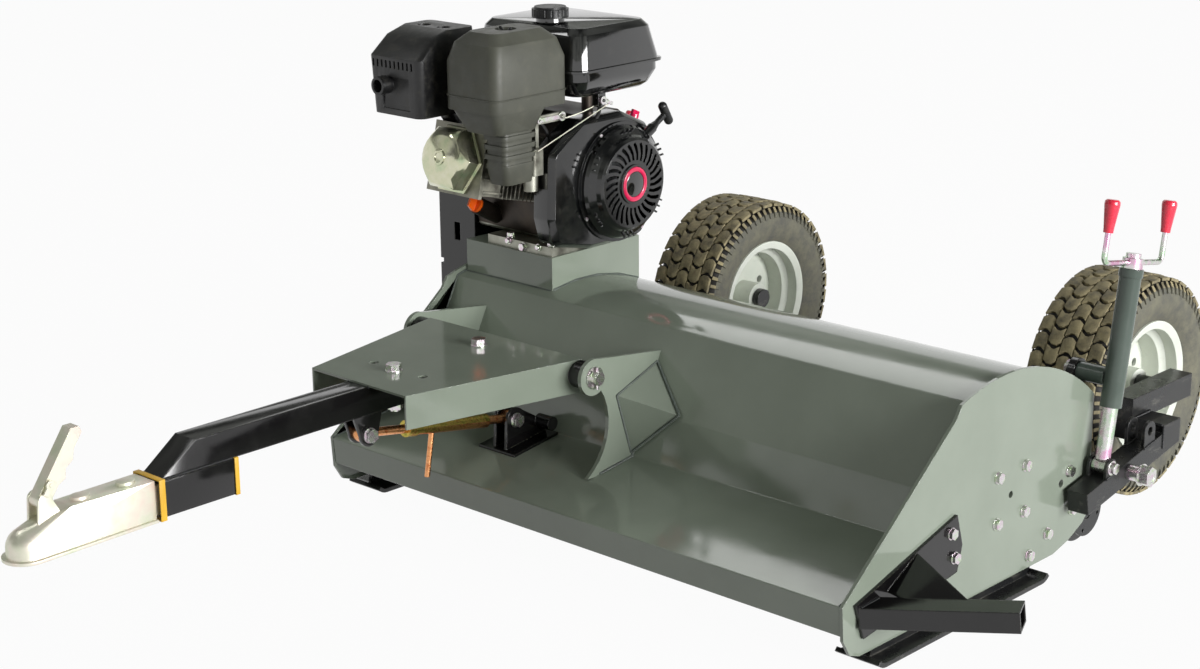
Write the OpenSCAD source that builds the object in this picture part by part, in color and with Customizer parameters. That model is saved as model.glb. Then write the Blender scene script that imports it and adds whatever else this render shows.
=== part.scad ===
// Towed flail mower with its own engine, drawbar with ball coupler and two jacked wheels.
// Working frame: x = 0 in the middle of the deck, y = 0 at the front lip, z = 0 on the ground.
// at_origin() moves the whole machine so that the origin is below the middle of its box.

/* [Deck] */
// Width over the two side plates
deck_w = 1204; // [1000:1:1400]
// Thickness of a side plate
plate_t = 6; // [4:0.5:8]
// Thickness of the hood sheet
hood_t = 4; // [3:0.5:5]
// Depth of the side plates from the lip to the rear edge
deck_depth = 711; // [705:1:730]
// Radius of the arched top of a side plate
arch_r = 415; // [410:1:425]
// Distance of the arch centre behind the lip
arch_y = 440; // [435:1:445]
// Height of the arch centre, below the ground
arch_z = -22; // [-26:1:-18]
// How far the hood lies inside the plate's arch
hood_inset = 10; // [6:1:14]
// Height of the front lip's upper edge
lip_top = 119; // [112:1:124]
// Height of the front lip's lower edge
lip_low = 67; // [58:1:74]
// Height of the side plates' lower edge
plate_low = 23; // [20:1:28]
// Height at which the hood ends at the rear
outlet_z = 184; // [180:1:200]

/* [Skids] */
// Width of a skid shoe
skid_w = 86; // [60:1:100]
// Thickness of a skid shoe
skid_t = 8; // [6:0.5:10]
// Start of the flat part of a skid
skid_y0 = 84; // [60:1:110]
// End of the flat part of a skid
skid_y1 = 530; // [480:1:560]

/* [Rotor] */
// Distance of the rotor's axis behind the lip
rotor_y = 460; // [455:1:465]
// Height of the rotor's axis
rotor_z = 176; // [172:1:182]
// Radius of the rotor tube
rotor_r = 44.5; // [38:0.5:50]
// Radius of the circle that the flail tips sweep
flail_sweep = 150; // [142:1:150]
// Radius of the circle of the flail pins
flail_pin_r0 = 84; // [80:1:88]
// Number of flails along the rotor
flail_count = 16; // [8:1:16]
// Distance from flail to flail
flail_pitch = 70; // [68:0.5:72]
// Diameter of the rotor's shaft ends
shaft_d = 35; // [30:1:38]
// Half distance of the bearing bolts
bearing_bolt = 41; // [39:0.5:43]

/* [Rear roller] */
// Distance of the roller's axis behind the lip
roller_y = 720; // [716:1:724]
// Height of the roller's axis
roller_z = 71; // [68:1:76]
// Radius of the roller
roller_r = 60; // [50:1:62]
// Diameter of the roller's shaft ends
roller_shaft_d = 30; // [24:1:34]

/* [Wheel arms] */
// Distance of the arm's pivot behind the lip
pivot_y = 760; // [756:1:764]
// Height of the arm's pivot
pivot_z = 147; // [144:1:150]
// Diameter of the pivot bolt
pivot_d = 20; // [16:1:22]
// Width and height of the arm's square tube
arm_w = 40; // [36:1:42]
// Wall of the arm's tube
arm_wall = 4; // [3:0.5:5]
// Slope of the lower tube
arm_pitch = 10.7; // [9:0.1:12]
// Length of the lower tube in front of the pivot
arm_front = 136; // [130:1:145]
// Length of the lower tube behind the pivot
arm_rear = 172; // [168:1:180]
// Gap between side plate and arm
arm_gap = 9; // [8.5:0.5:11]

/* [Wheels] */
// Outer diameter of a tyre
tyre_d = 420; // [400:1:430]
// Width of a tyre
tyre_w = 160; // [140:1:164]
// Diameter of the rim's edge
rim_d = 250; // [230:1:255]
// Distance of the wheel's middle from the deck's middle
track_half = 458; // [450:1:462]
// Distance of the axles behind the lip
axle_y = 1035; // [1025:1:1050]
// Diameter of an axle
axle_d = 25; // [20:1:28]
// Tread blocks round one row
tread_blocks = 34; // [24:1:40]
// Depth of the tread
tread_depth = 8; // [5:0.5:10]

/* [Wheel jacks] */
// Distance of the jack's pin in front of the arm's pivot
jack_pin_back = 61; // [58:1:64]
// Height of the jack's pin above the arm's pivot
jack_pin_up = 23; // [20:1:25]
// Distance of the jack's trunnion behind the lip
trunnion_y = 727; // [724:1:730]
// Height of the jack's trunnion
trunnion_z = 322; // [316:1:328]
// Outer diameter of the jack's outer tube
jack_d = 38; // [36:1:40]
// Wall of the jack's outer tube
jack_wall = 5; // [4:0.5:5]
// Length of the outer tube below the trunnion
jack_below = 50; // [44:1:54]
// Length of the outer tube above the trunnion
jack_above = 192; // [180:1:200]
// Distance from the jack's axis to a crank handle
crank_reach = 98; // [80:1:110]
// Length of a crank grip
grip_len = 56; // [45:1:65]

/* [Hitch] */
// Distance of the drawbar's centre line from the deck's middle
hitch_x = 275; // [270:1:280]
// Distance of the tilt pins behind the lip
tilt_y = 137; // [134:1:140]
// Height of the tilt pins
tilt_z = 321; // [318:1:324]
// Diameter of a tilt pin
tilt_d = 24; // [20:1:26]
// Half distance between the middles of the two ears
ear_half = 224; // [222:1:230]
// Thickness of an ear
ear_t = 8; // [6:0.5:10]
// Height of the top of the hitch frame
frame_top = 347; // [346:0.5:348]
// Thickness of the frame's sheet
frame_t = 4; // [3:0.5:5]
// Height of the frame's side flanges
frame_h = 60; // [56:1:64]
// Half width of the frame at its front
frame_front = 120; // [112:1:126]
// Half width of the frame at its rear
frame_rear = 196; // [192:1:198]
// Front edge of the frame, in front of the lip
frame_y0 = 205; // [200:1:215]
// Distance of the front drawbar bolt in front of the lip
bolt_front = 123; // [120:1:128]
// Distance of the rear drawbar bolt behind the lip
bolt_rear = 80; // [76:1:84]
// Swing angle between the drawbar's bolt holes
swing_angle = 18; // [16:0.5:19]

/* [Drawbar] */
// Width and height of the drawbar's tube
bar_w = 50; // [46:1:54]
// Wall of the drawbar's tube
bar_wall = 5; // [4:0.5:6]
// Front end of the drawbar's upper face, in front of the lip
bar_front = 567; // [540:1:590]
// Width and height of the receiver's tube
receiver_w = 60; // [58:1:62]
// Front end of the receiver, in front of the lip
receiver_y0 = 640; // [630:1:650]
// Rear end of the receiver, in front of the lip
receiver_y1 = 489; // [480:1:500]

/* [Ball coupler] */
// Diameter of the tow ball
ball_d = 50; // [48:0.2:52]
// Distance of the ball's centre in front of the lip
ball_y = 868; // [860:1:876]
// Height of the ball's centre
ball_z = 246; // [242:1:250]
// Thickness of the coupler's sheet
coupler_t = 5; // [4:0.5:6]
// Length of the coupler's lever
lever_len = 124; // [110:1:135]

/* [Turnbuckle] */
// Distance of the rear eye behind the lip
eye_rear_y = 152; // [149:1:155]
// Height of the rear eye
eye_rear_z = 192; // [190:1:195]
// Distance of the front eye in front of the lip
eye_front_y = 198; // [195:1:202]
// Height of the front eye
eye_front_z = 253; // [251:1:255]
// Diameter of the turnbuckle's body
buckle_d = 26; // [22:1:28]
// Diameter of its rods
rod_d = 16; // [14:1:18]

/* [Side stub] */
// Width of the stub's tube
stub_w = 50; // [40:1:60]
// Height of the stub's tube
stub_h = 34; // [30:1:40]
// Wall of the stub's tube
stub_wall = 3; // [2:0.5:4]
// Length of the stub
stub_len = 238; // [200:1:260]
// Angle of the stub in plan
stub_turn = 24; // [20:1:28]
// Upward slope of the stub
stub_rise = 6; // [3:1:8]

/* [Engine] */
// Distance of the crankshaft behind the lip
crank_y = 521; // [517:1:525]
// Height of the crankshaft
crank_z = 562; // [560:1:566]
// Height of the top of the engine's mount
mount_z = 438; // [436:1:440]
// Slope of the cylinder
cylinder_rise = 13.5; // [12:0.5:15]
// Diameter of the crankshaft
crank_d = 25; // [22:1:28]
// Radius of the grille on the recoil starter
grille_r = 89; // [84:1:92]
// Number of curved slots in the grille
grille_slots = 28; // [20:1:30]
// Height of the tank's seam above the ground
seam_z = 790; // [786:1:794]

/* [Belt drive] */
// Outer radius of both pulleys
pulley_r = 64; // [60:0.5:66]
// Width of one belt
belt_w = 13; // [11:0.5:14]
// How far the belt guard stands out from the far plate
guard_x = 100; // [96:1:108]
// Thickness of the guard's sheet
guard_t = 3; // [2:0.5:4]

/* [Fits] */
// Radial running clearance of the turning pins and shafts
run_fit = 0.06; // [0.02:0.01:0.09]
// Gap between pieces that move past each other
move_gap = 0.3; // [0.3:0.1:0.8]
// Radial play of the linkage pins that close a loop
loop_play = 1.5; // [1.2:0.1:2]
// Diameter of the plate bolts
bolt_d = 10; // [8:1:12]

/* [Hidden] */
$fn = 40;

deck_half = deck_w / 2;
inner_half = deck_half - plate_t;
hood_r = arch_r - hood_inset;
tyre_r = tyre_d / 2;
axle_z = tyre_r;
// The stub's tip and the belt guard are the widest points, coupler nose and tyres the longest
stub_tip = deck_half + 6 + stub_len * cos(stub_turn) * cos(stub_rise) + stub_w / 2 * sin(stub_turn);
guard_out = deck_half + guard_x;
mid_x = (stub_tip - guard_out) / 2;
nose_y = ball_y + ball_d / 2 + coupler_t + 9;
mid_y = (axle_y + tyre_r - nose_y) / 2;

module at_origin()
    translate([-mid_x, -mid_y, 0]) children();

// Half width of the deck that the engine's places are written for; they follow the far plate
drawn_half = 602;
engine_x = drawn_half - deck_half;
module at_engine()
    at_origin() translate([engine_x, 0, 0]) children();

// A flat outline in y and z, extruded from x0 to x1
module along_x(x0, x1)
    translate([x0, 0, 0]) rotate([90, 0, 90]) linear_extrude(x1 - x0) children();

// A round bar along x
module rod_x(y, z, x0, x1, r)
    translate([x0, y, z]) rotate([0, 90, 0]) cylinder(r = r, h = x1 - x0);

// A box from its two corners
module block(a, b)
    translate(a) cube(b - a);

module both_sides() {
    children();
    mirror([1, 0, 0]) children();
}

function unit(v) = v / norm(v);
function left(v) = [-v[1], v[0]];
// The offset of a path by t to its left, with mitred corners
function beside(path, t) = [for (i = [0:len(path) - 1])
    let (a = i == 0 ? unit(path[1] - path[0]) : unit(path[i] - path[i - 1]),
         b = i == len(path) - 1 ? a : unit(path[i + 1] - path[i]),
         n = unit(left(a) + left(b)))
    path[i] + n * t / (n * left(a))];
function reversed(list) = [for (i = [len(list) - 1:-1:0]) list[i]];

// A bent sheet of thickness t to the left of a path
module sheet(path, t)
    polygon(concat(path, reversed(beside(path, t))));

function arc(c, r, a0, a1, n) = [for (i = [0:n])
    c + r * [cos(a0 + (a1 - a0) * i / n), sin(a0 + (a1 - a0) * i / n)]];

// One corner of an outline, rounded with radius r
function corner(p0, p1, p2, r) =
    let (a = unit(p0 - p1), b = unit(p2 - p1), h = acos(a * b) / 2,
         d = min(r / tan(h), 0.45 * norm(p0 - p1), 0.45 * norm(p2 - p1)),
         q = d * tan(h), c = p1 + unit(a + b) * q / sin(h),
         s = p1 + a * d - c, e = p1 + b * d - c,
         a0 = atan2(s[1], s[0]), w = atan2(e[1], e[0]) - a0,
         sweep = w > 180 ? w - 360 : w < -180 ? w + 360 : w)
    arc(c, q, a0, a0 + sweep, 4);
function rounded(pts, r) = [for (i = [0:len(pts) - 1])
    each corner(pts[(i + len(pts) - 1) % len(pts)], pts[i], pts[(i + 1) % len(pts)], r)];

// A hexagon head with its washer, standing on z = 0
module hex_head(af, h) {
    cylinder(r = af * 0.62, h = 2);
    translate([0, 0, 2]) cylinder(r = af / 2 / cos(30), h = h, $fn = 6);
}

// A bolt along +x whose head's underside lies at x1 and whose shank starts at x0
module bolt_x(y, z, x0, x1, d, af) {
    rod_x(y, z, x0, x1, d / 2);
    translate([x1, y, z]) rotate([0, 90, 0]) hex_head(af, d * 0.62);
}

// Deck

function arch(y, r) = [y, arch_z + sqrt(r * r - (y - arch_y) * (y - arch_y))];
function arch_path(r, y0, y1, n) =
    [for (i = [0:n]) let (y = y0 + (y1 - y0) * i / n) arch(y, r)];

plate_front = 306;
hood_back = deck_depth - 8;
step_1 = [235, 150];
step_2 = [262, 230];
crease_y = 332;
hood_crease = arch(crease_y, hood_r);
hood_path = concat([[5, lip_low], [0, lip_top], step_1, step_2],
    arch_path(hood_r, crease_y, hood_back, 16), [[hood_back, outlet_z]]);

module plate_outline()
    polygon(concat([[0, lip_top], [4, 61], [22, 32], [47, plate_low], [602, plate_low + 3],
        [650, 38], [694, 58], [deck_depth, 75]],
        reversed(arch_path(arch_r, plate_front, deck_depth, 16)), [[292, 350]]));

bearing_holes = [for (a = [-1, 1], b = [-1, 1])
    [rotor_y + a * bearing_bolt, rotor_z + b * bearing_bolt]];
// The last two of these bolts hold the roller bracket
web_holes = [[523, 48], [578, 72]];
bracket_holes = [[641, 169], [655, 95]];
stub_holes = [[279, 161], [290, 116], [143, 109]];
bolt_hole = bolt_d / 2 + 0.5;

module plate_holes(list)
    for (p = list) translate(p) circle(r = bolt_hole);

module side_plate(shaft_hole, extra)
    along_x(inner_half, deck_half) difference() {
        plate_outline();
        plate_holes(concat(bearing_holes, web_holes, bracket_holes, extra));
        translate([rotor_y, rotor_z]) circle(r = shaft_hole);
        translate([617, 152]) circle(r = 7);
    }

module side_plate_near()
    at_origin() color("#9aa89b") side_plate(6, stub_holes);

module side_plate_far()
    at_origin() color("#9aa89b") mirror([1, 0, 0]) side_plate(shaft_d / 2 + 6, []);

module hood()
    at_origin() color("#6b746c") along_x(-inner_half, inner_half) sheet(hood_path, -hood_t);

// Everything behind the hood's outer skin, for trimming what is welded to it
module inside_hood()
    along_x(-deck_half, deck_half)
        polygon(concat(hood_path, [[hood_back, 10], [5, 10]]));

skid_path = concat(arc([skid_y0, 30], 30, 225, 270, 4), arc([skid_y1, 30], 30, 270, 315, 4));
web_t = 8;

module skid() {
    along_x(deck_half - 60, deck_half - 60 + skid_w) sheet(skid_path, skid_t);
    along_x(inner_half - web_t, inner_half) difference() {
        polygon([[skid_y0, skid_t], [skid_y1, skid_t], [skid_y1 + 60, 84], [skid_y1 + 20, 84],
            [skid_y1 - 40, 62], [skid_y0 + 6, 60]]);
        plate_holes(web_holes);
    }
}

// Bracket behind the side plate for the roller and the arm's pivot bolt
module roller_bracket()
    along_x(inner_half - web_t, inner_half) difference() {
        union() {
            translate([roller_y, roller_z]) circle(r = 46);
            translate([pivot_y, pivot_z]) circle(r = 27);
            polygon([[625, 88], [625, 186], [680, 182], [pivot_y - 6, pivot_z + 26.2],
                [pivot_y + 27, pivot_z], [roller_y + 46, roller_z], [roller_y, roller_z - 46],
                [692, roller_z - 30]]);
        }
        translate([roller_y, roller_z]) circle(r = roller_shaft_d / 2 + run_fit);
        translate([pivot_y, pivot_z]) circle(r = pivot_d / 2);
        plate_holes(bracket_holes);
        for (a = [-20, 160, 70, 250])
            translate([roller_y + 36 * cos(a), roller_z + 36 * sin(a)]) circle(r = 3.5);
    }

module skids()
    at_origin() color("#1d1f20") both_sides() {
        skid();
        roller_bracket();
    }

// Hitch ears

ear_boss = 33;
notch = [193, 274];
hood_slope = unit(hood_crease - step_2);
foot_rear = step_1;
arm_low = step_2 + hood_slope * 58;
arm_high = step_2 + hood_slope * 104;

module ear_outline()
    difference() {
        union() {
            translate([tilt_y, tilt_z]) circle(r = ear_boss);
            polygon(concat([[tilt_y - 4, tilt_z + ear_boss - 0.3], [300, 332], arm_high + [14, 6],
                arm_low + [10, 0], notch, foot_rear + [0, -6], [152, 136]],
                arc([66, 232], 108, -61, 47, 10), [[tilt_y - ear_boss, tilt_z]]));
        }
        translate([tilt_y, tilt_z]) circle(r = tilt_d / 2 + run_fit);
    }

// The folded brace beside an ear, two facets that meet in a ridge from the notch to the tip
brace_tip = [92, step_2[0] + 2, step_2[1] + 8];
brace_x = ear_t / 2 - 1;
brace_inward = [0, 5.9, -3];
module facet(a, b, c)
    polyhedron([a, b, c, a + brace_inward, b + brace_inward, c + brace_inward],
        [[0, 1, 2], [5, 4, 3], [0, 3, 4], [0, 4, 1], [1, 4, 5], [1, 5, 2], [2, 5, 3], [2, 3, 0]]);

module brace() {
    top = [brace_x, notch[0] + 2, notch[1]];
    facet(top, [brace_x, 303, 312], brace_tip);
    facet(top, brace_tip, [brace_x, foot_rear[0] - 3, foot_rear[1] + 6]);
}

module hitch_ears()
    at_origin() color("#8f9b90") translate([-hitch_x, 0, 0]) {
        translate([ear_half, 0, 0]) difference() {
            ear_raw();
            translate([hitch_x - ear_half, 0, 0]) inside_hood();
        }
        mirror([1, 0, 0]) translate([ear_half, 0, 0]) difference() {
            ear_raw();
            translate([-hitch_x - ear_half, 0, 0]) inside_hood();
        }
    }

module ear_raw() {
    along_x(-ear_t / 2, ear_t / 2) ear_outline();
    brace();
}

// Bracket on the apron that carries the turnbuckle's rear eye

eye_w = 22;
cheek_t = 6;
eye_bolt_d = 14;
function apron_z(y) = lip_top + (step_1[1] - lip_top) * y / step_1[0];

module eye_cheeks(y, z, r, foot)
    for (side = [-1, 1]) let (x0 = side * (eye_w / 2 + move_gap), x1 = x0 + side * cheek_t)
        along_x(min(x0, x1), max(x0, x1)) difference() {
            union() {
                translate([y, z]) circle(r = r);
                polygon(foot);
            }
            translate([y, z]) circle(r = eye_bolt_d / 2);
        }

module apron_bracket()
    at_origin() color("#1d1f20") translate([-hitch_x, 0, 0]) {
        difference() {
            union() {
                eye_cheeks(eye_rear_y, eye_rear_z, 23, [[eye_rear_y - 22.6, eye_rear_z + 4],
                    [eye_rear_y - 26, apron_z(126)], [228, apron_z(228) + 5], [228, 172],
                    [eye_rear_y + 17, eye_rear_z + 15.5]]);
                along_x(-46, 46) polygon([[118, 120], [232, 120], [232, apron_z(232) + 5],
                    [118, apron_z(118) + 5]]);
                rod_x(214, 176, eye_w / 2 + 4, 50, 13);
            }
            translate([hitch_x, 0, 0]) inside_hood();
        }
    }

// Side stub

stub_base = [62, 93];
stub_plate_t = 6;

module on_stub()
    translate([deck_half + stub_plate_t, stub_base[0], stub_base[1]])
        rotate([0, -stub_rise, stub_turn]) children();

module side_stub()
    at_origin() color("#1d1f20") {
        along_x(deck_half, deck_half + stub_plate_t) difference() {
            polygon([[27, 115], [296, 188], [313, 132], [300, 88], [49, 53]]);
            plate_holes(stub_holes);
        }
        difference() {
            on_stub() translate([-40, -stub_w / 2, -stub_h / 2]) difference() {
                cube([stub_len + 40, stub_w, stub_h]);
                translate([-1, stub_wall, stub_wall])
                    cube([stub_len + 45, stub_w - 2 * stub_wall, stub_h - 2 * stub_wall]);
            }
            block([0, -200, -50], [deck_half + stub_plate_t, 300, 300]);
        }
        difference() {
            hull() {
                translate([deck_half + stub_plate_t, 112, 114]) sphere(r = 3, $fn = 8);
                translate([deck_half + stub_plate_t, 186, 152]) sphere(r = 3, $fn = 8);
                on_stub() translate([150, stub_w / 2 - 3, stub_h / 2 - 3]) sphere(r = 3, $fn = 8);
                on_stub() translate([56, stub_w / 2 - 3, stub_h / 2 - 3]) sphere(r = 3, $fn = 8);
            }
            block([0, -200, -50], [deck_half + stub_plate_t, 300, 300]);
            on_stub() translate([-60, -stub_w / 2, -stub_h / 2]) cube([400, stub_w, stub_h]);
        }
    }

// Engine mount, a box of plates welded on the hood

mount_near = -360;
mount_far = -592;
mount_y0 = 356;
mount_y1 = 600;
mount_t = 6;
foot_holes = [for (x = [-378, -486], y = [374, 578]) [x, y]];

module engine_mount()
    at_engine() color("#8f9b90") difference() {
        union() {
            block([mount_near - mount_t, mount_y0, 300], [mount_near, mount_y1, mount_z]);
            block([mount_far, mount_y0 + mount_t, 300], [mount_far + mount_t, mount_y1, mount_z]);
            block([mount_far, mount_y0, 300], [mount_near - mount_t, mount_y0 + mount_t, mount_z]);
            block([mount_far, mount_y0, mount_z - mount_t], [mount_near, mount_y1, mount_z]);
        }
        translate([-engine_x, 0, 0]) inside_hood();
        for (p = foot_holes) translate([p[0], p[1], 400]) cylinder(r = bolt_hole, h = 60);
    }

// Belt guard outside the far plate

guard_front = 388;
guard_outline = rounded([[guard_front, 104], [guard_front, 648], [596, 648], [604, 540],
    [548, 104]], 24);
guard_inside = rounded([[guard_front + guard_t, 90], [guard_front + guard_t, 648 - guard_t],
    [596 - guard_t, 648 - guard_t], [604 - guard_t, 540], [548 - guard_t, 90]], 24);

module belt_guard()
    at_origin() color("#17191a") difference() {
        along_x(-guard_out, -deck_half) polygon(guard_outline);
        along_x(-guard_out + guard_t, -deck_half - guard_t) polygon(guard_inside);
        rod_x(rotor_y, rotor_z, -deck_half - guard_t - 1, -deck_half + 1, 78);
        rod_x(crank_y, crank_z, -deck_half - guard_t - 1, -deck_half + 1, 45);
        block([-guard_out + 42, guard_front - 1, 420], [-guard_out + 58, guard_front + guard_t + 1, 456]);
        block([-guard_out - 1, guard_front - 1, 366], [-guard_out + 8, guard_front + 10, 376]);
    }

// Rotor bearings on the inner faces of the side plates

housing_depth = 34;
flange_t = 12;

module bearing(shaft_end)
    difference() {
        union() {
            along_x(inner_half - flange_t, inner_half) translate([rotor_y, rotor_z])
                polygon(rounded([[-55, -55], [55, -55], [55, 55], [-55, 55]], 14));
            rod_x(rotor_y, rotor_z, inner_half - housing_depth, inner_half - flange_t, 38);
        }
        rod_x(rotor_y, rotor_z, inner_half - housing_depth - 1, shaft_end, shaft_d / 2 + run_fit);
        for (p = bearing_holes) rod_x(p[0], p[1], inner_half - 20, inner_half + 1, bolt_hole);
    }

module rotor_bearings()
    at_origin() color("#3a3d40") {
        bearing(inner_half - 2);
        mirror([1, 0, 0]) bearing(inner_half + 1);
    }

// Bolts of the deck

nut_h = 8;
bolt_af = 17;
module through_bolt(y, z, x0, x1, d, af) {
    bolt_x(y, z, x0 - nut_h, x1, d, af);
    translate([x0 - nut_h, y, z]) rotate([0, 90, 0]) difference() {
        cylinder(r = af / 2 / cos(30), h = nut_h, $fn = 6);
        translate([0, 0, -1]) cylinder(r = d / 2, h = nut_h + 2);
    }
}

module plate_bolts() {
    for (p = bearing_holes)
        through_bolt(p[0], p[1], inner_half - flange_t, deck_half, bolt_d, bolt_af);
    for (p = concat(web_holes, bracket_holes))
        through_bolt(p[0], p[1], inner_half - web_t, deck_half, bolt_d, bolt_af);
}

arm_x0 = deck_half + arm_gap;
arm_x1 = arm_x0 + arm_w;
bush_len = 24;

module pivot_bolt() {
    rod_x(pivot_y, pivot_z, inner_half - web_t - 14, arm_x1 + bush_len + 20, pivot_d / 2);
    translate([inner_half - web_t, pivot_y, pivot_z]) rotate([0, -90, 0]) hex_head(30, 12);
    translate([arm_x1 + bush_len + move_gap, pivot_y, pivot_z]) rotate([0, 90, 0])
        difference() {
            hex_head(32, 18);
            translate([0, 0, -1]) cylinder(r = pivot_d / 2, h = 30);
        }
    difference() {
        rod_x(pivot_y, pivot_z, arm_x1 + move_gap, arm_x1 + bush_len + move_gap, 14);
        rod_x(pivot_y, pivot_z, arm_x1, arm_x1 + bush_len + 1, pivot_d / 2);
    }
}

lug_x0 = deck_half - 54;
lug_x1 = lug_x0 + 14;
trunnion_d = 18;
jack_x = arm_x0 + arm_w / 2;

module trunnion_bolt() {
    rod_x(trunnion_y, trunnion_z, lug_x0 - 8, jack_x - jack_d / 2 - 3, trunnion_d / 2);
    translate([lug_x0, trunnion_y, trunnion_z]) rotate([0, -90, 0]) hex_head(26, 9);
}

module eye_bolt(y, z, half)
    translate([-hitch_x, 0, 0]) {
        rod_x(y, z, -half, half + 10, eye_bolt_d / 2);
        translate([-half, y, z]) rotate([0, -90, 0]) hex_head(21, 8);
        translate([half, y, z]) rotate([0, 90, 0]) difference() {
            hex_head(22, 8);
            translate([0, 0, -1]) cylinder(r = eye_bolt_d / 2, h = 20);
        }
    }

cheek_out = eye_w / 2 + move_gap + cheek_t;

module deck_bolts()
    at_origin() color("#c9ccb8") {
        both_sides() {
            plate_bolts();
            pivot_bolt();
            trunnion_bolt();
        }
        for (p = stub_holes)
            through_bolt(p[0], p[1], inner_half, deck_half + stub_plate_t, bolt_d, bolt_af);
        eye_bolt(eye_rear_y, eye_rear_z, cheek_out);
    }

// Black lugs on the hood's rear wall that carry the jacks' trunnions

module trunnion_lugs()
    at_origin() color("#1d1f20") both_sides() along_x(lug_x0, lug_x1) difference() {
        union() {
            translate([trunnion_y, trunnion_z]) circle(r = 22);
            polygon([[hood_back, 240], [hood_back, arch(hood_back, hood_r)[1]],
                [680, arch(680, hood_r)[1]], [trunnion_y - 9, trunnion_z + 20],
                [trunnion_y + 21, trunnion_z - 7], [hood_back + 8, 240]]);
        }
        translate([trunnion_y, trunnion_z]) circle(r = trunnion_d / 2);
    }

// Engine

case_x0 = -598;
case_x1 = -388;
shroud_x1 = -340;
recoil_x1 = -300;
cylinder_x = -490;
cylinder_start = 124;
cylinder_out = [-cos(cylinder_rise), sin(cylinder_rise)];
cylinder_up = [sin(cylinder_rise), cos(cylinder_rise)];
crank_at = [crank_y, crank_z];
flange_mid = crank_at + cylinder_out * cylinder_start;
foot_top = mount_z + 18;

module on_cylinder()
    translate([cylinder_x, crank_y, crank_z]) rotate([90 - cylinder_rise, 0, 0]) children();

module crankcase()
    at_engine() color("#4a3f36") {
        difference() {
            union() {
                block([case_x0 + 60, 362, mount_z], [-366, 590, foot_top]);
                along_x(case_x0, case_x1) polygon(rounded([[398, foot_top],
                    flange_mid - cylinder_up * 66, flange_mid + cylinder_up * 66, [470, 690],
                    [570, 690], [640, 640], [655, 540], [640, foot_top]], 12));
                rod_x(crank_y, crank_z, case_x0 - 3, case_x0, 44);
                translate([-545, 396, 486]) rotate([62, 0, 0]) cylinder(r = 17, h = 62);
                for (x = [-560, -420]) translate([x, 520, 688]) cylinder(r = 11, h = tank_low - 688);
            }
            rod_x(crank_y, crank_z, case_x0 - 10, case_x1 + 1, crank_d / 2 + run_fit);
            block([-498, 566, foot_top], [-474, 660, foot_top + 14]);
            for (p = foot_holes) translate([p[0], p[1], 400]) cylinder(r = bolt_hole, h = 60);
        }
    }

// A slab with rounded corners, [x0, y0, x1, y1] shrunk by inset
module slab(box, inset, r, z, h)
    translate([0, 0, z]) linear_extrude(h) polygon(rounded([
        [box[0] + inset, box[1] + inset], [box[2] - inset, box[1] + inset],
        [box[2] - inset, box[3] - inset], [box[0] + inset, box[3] - inset]], r));

fin_count = 9;
head_start = 226;
head_end = 288;
barrel_r = 50;

module cylinder_head()
    at_engine() color("#8c8f88") on_cylinder() {
        translate([0, 0, cylinder_start]) cylinder(r = barrel_r, h = head_start - cylinder_start);
        for (i = [0:fin_count - 1])
            translate([-62, -62, cylinder_start + 4 + i * 11]) cube([124, 124, 3]);
        translate([-62, -60, head_start]) cube([124, 120, head_end - head_start]);
        for (i = [0:4])
            translate([-72, -54 + i * 24, head_start + 6]) cube([144, 4, head_end - head_start - 14]);
        translate([-70, -66, head_end - 8]) cube([140, 132, 8]);
    }

module valve_cover()
    at_engine() color("#b9bd8a") on_cylinder() translate([0, 0, head_end]) {
        cylinder(r = 70, h = 5, $fn = 6);
        hull() {
            translate([0, 0, 5]) cylinder(r = 64, h = 24, $fn = 6);
            translate([0, 0, 5]) cylinder(r = 50, h = 38, $fn = 24);
            cylinder(r = 40, h = 47, $fn = 24);
        }
        translate([0, 0, 47]) difference() {
            cylinder(r = 15, h = 3);
            translate([0, 0, 1]) cylinder(r = 9, h = 4);
        }
    }

fan_r = 92;
shroud_outline = rounded([[337, 516], [352, 462], [446, 442], [586, 442], [640, 500],
    [645, 604], [610, 662], [540, 694], [424, 694], [372, 662], [342, 640]], 22);

module fan_shroud()
    at_engine() color("#131415") difference() {
        hull() {
            along_x(case_x1, shroud_x1 - 12) polygon(shroud_outline);
            along_x(shroud_x1 - 14, shroud_x1) offset(-9) polygon(shroud_outline);
        }
        rod_x(crank_y, crank_z, case_x1 - 1, shroud_x1 - 6, fan_r + 10);
        rod_x(crank_y, crank_z, case_x1, shroud_x1 + 1, fan_r);
        block([case_x1 - 1, 340, 430], [-364, 600, foot_top + 10]);
    }

module on_crank(x)
    translate([x, crank_y, crank_z]) rotate([0, 90, 0]) children();

module recoil_cover()
    at_engine() color("#0f1011") {
        recoil_shell();
        rope_guide();
    }

module recoil_shell()
    on_crank(shroud_x1) difference() {
        rotate_extrude() polygon([[0, 34], [0, 40], [34, 40], [34, 43], [38, 43], [38, 40],
            [grille_r - 5, 40], [grille_r, 36], [grille_r + 4, 28], [grille_r + 16, 18],
            [grille_r + 20, 12], [grille_r + 20, 5], [grille_r + 27, 5], [grille_r + 27, 0],
            [grille_r + 16, 0], [grille_r + 16, 10], [grille_r + 12, 15], [grille_r, 24],
            [grille_r - 6, 34]]);
        for (i = [0:grille_slots - 1]) rotate(i * 360 / grille_slots)
            linear_extrude(60) polygon([[46, -1.5], [60, 1], [72, 7], [79, 14], [75, 19],
                [66, 12], [56, 6], [46, 4.5]]);
        for (a = [100, 160, 220], k = [-1, 0, 1]) rotate(a + k * 9)
            translate([grille_r + 4, -3.5, 7.3]) cube([30, 7, 9.4]);
    }

// Guide that the starter's rope leaves through
module rope_guide()
    translate(handle_at) rotate([handle_rise, 0, 0]) translate([0, -move_gap, 0]) rotate([90, 0, 0])
        cylinder(r = 10, h = 24);

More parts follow.
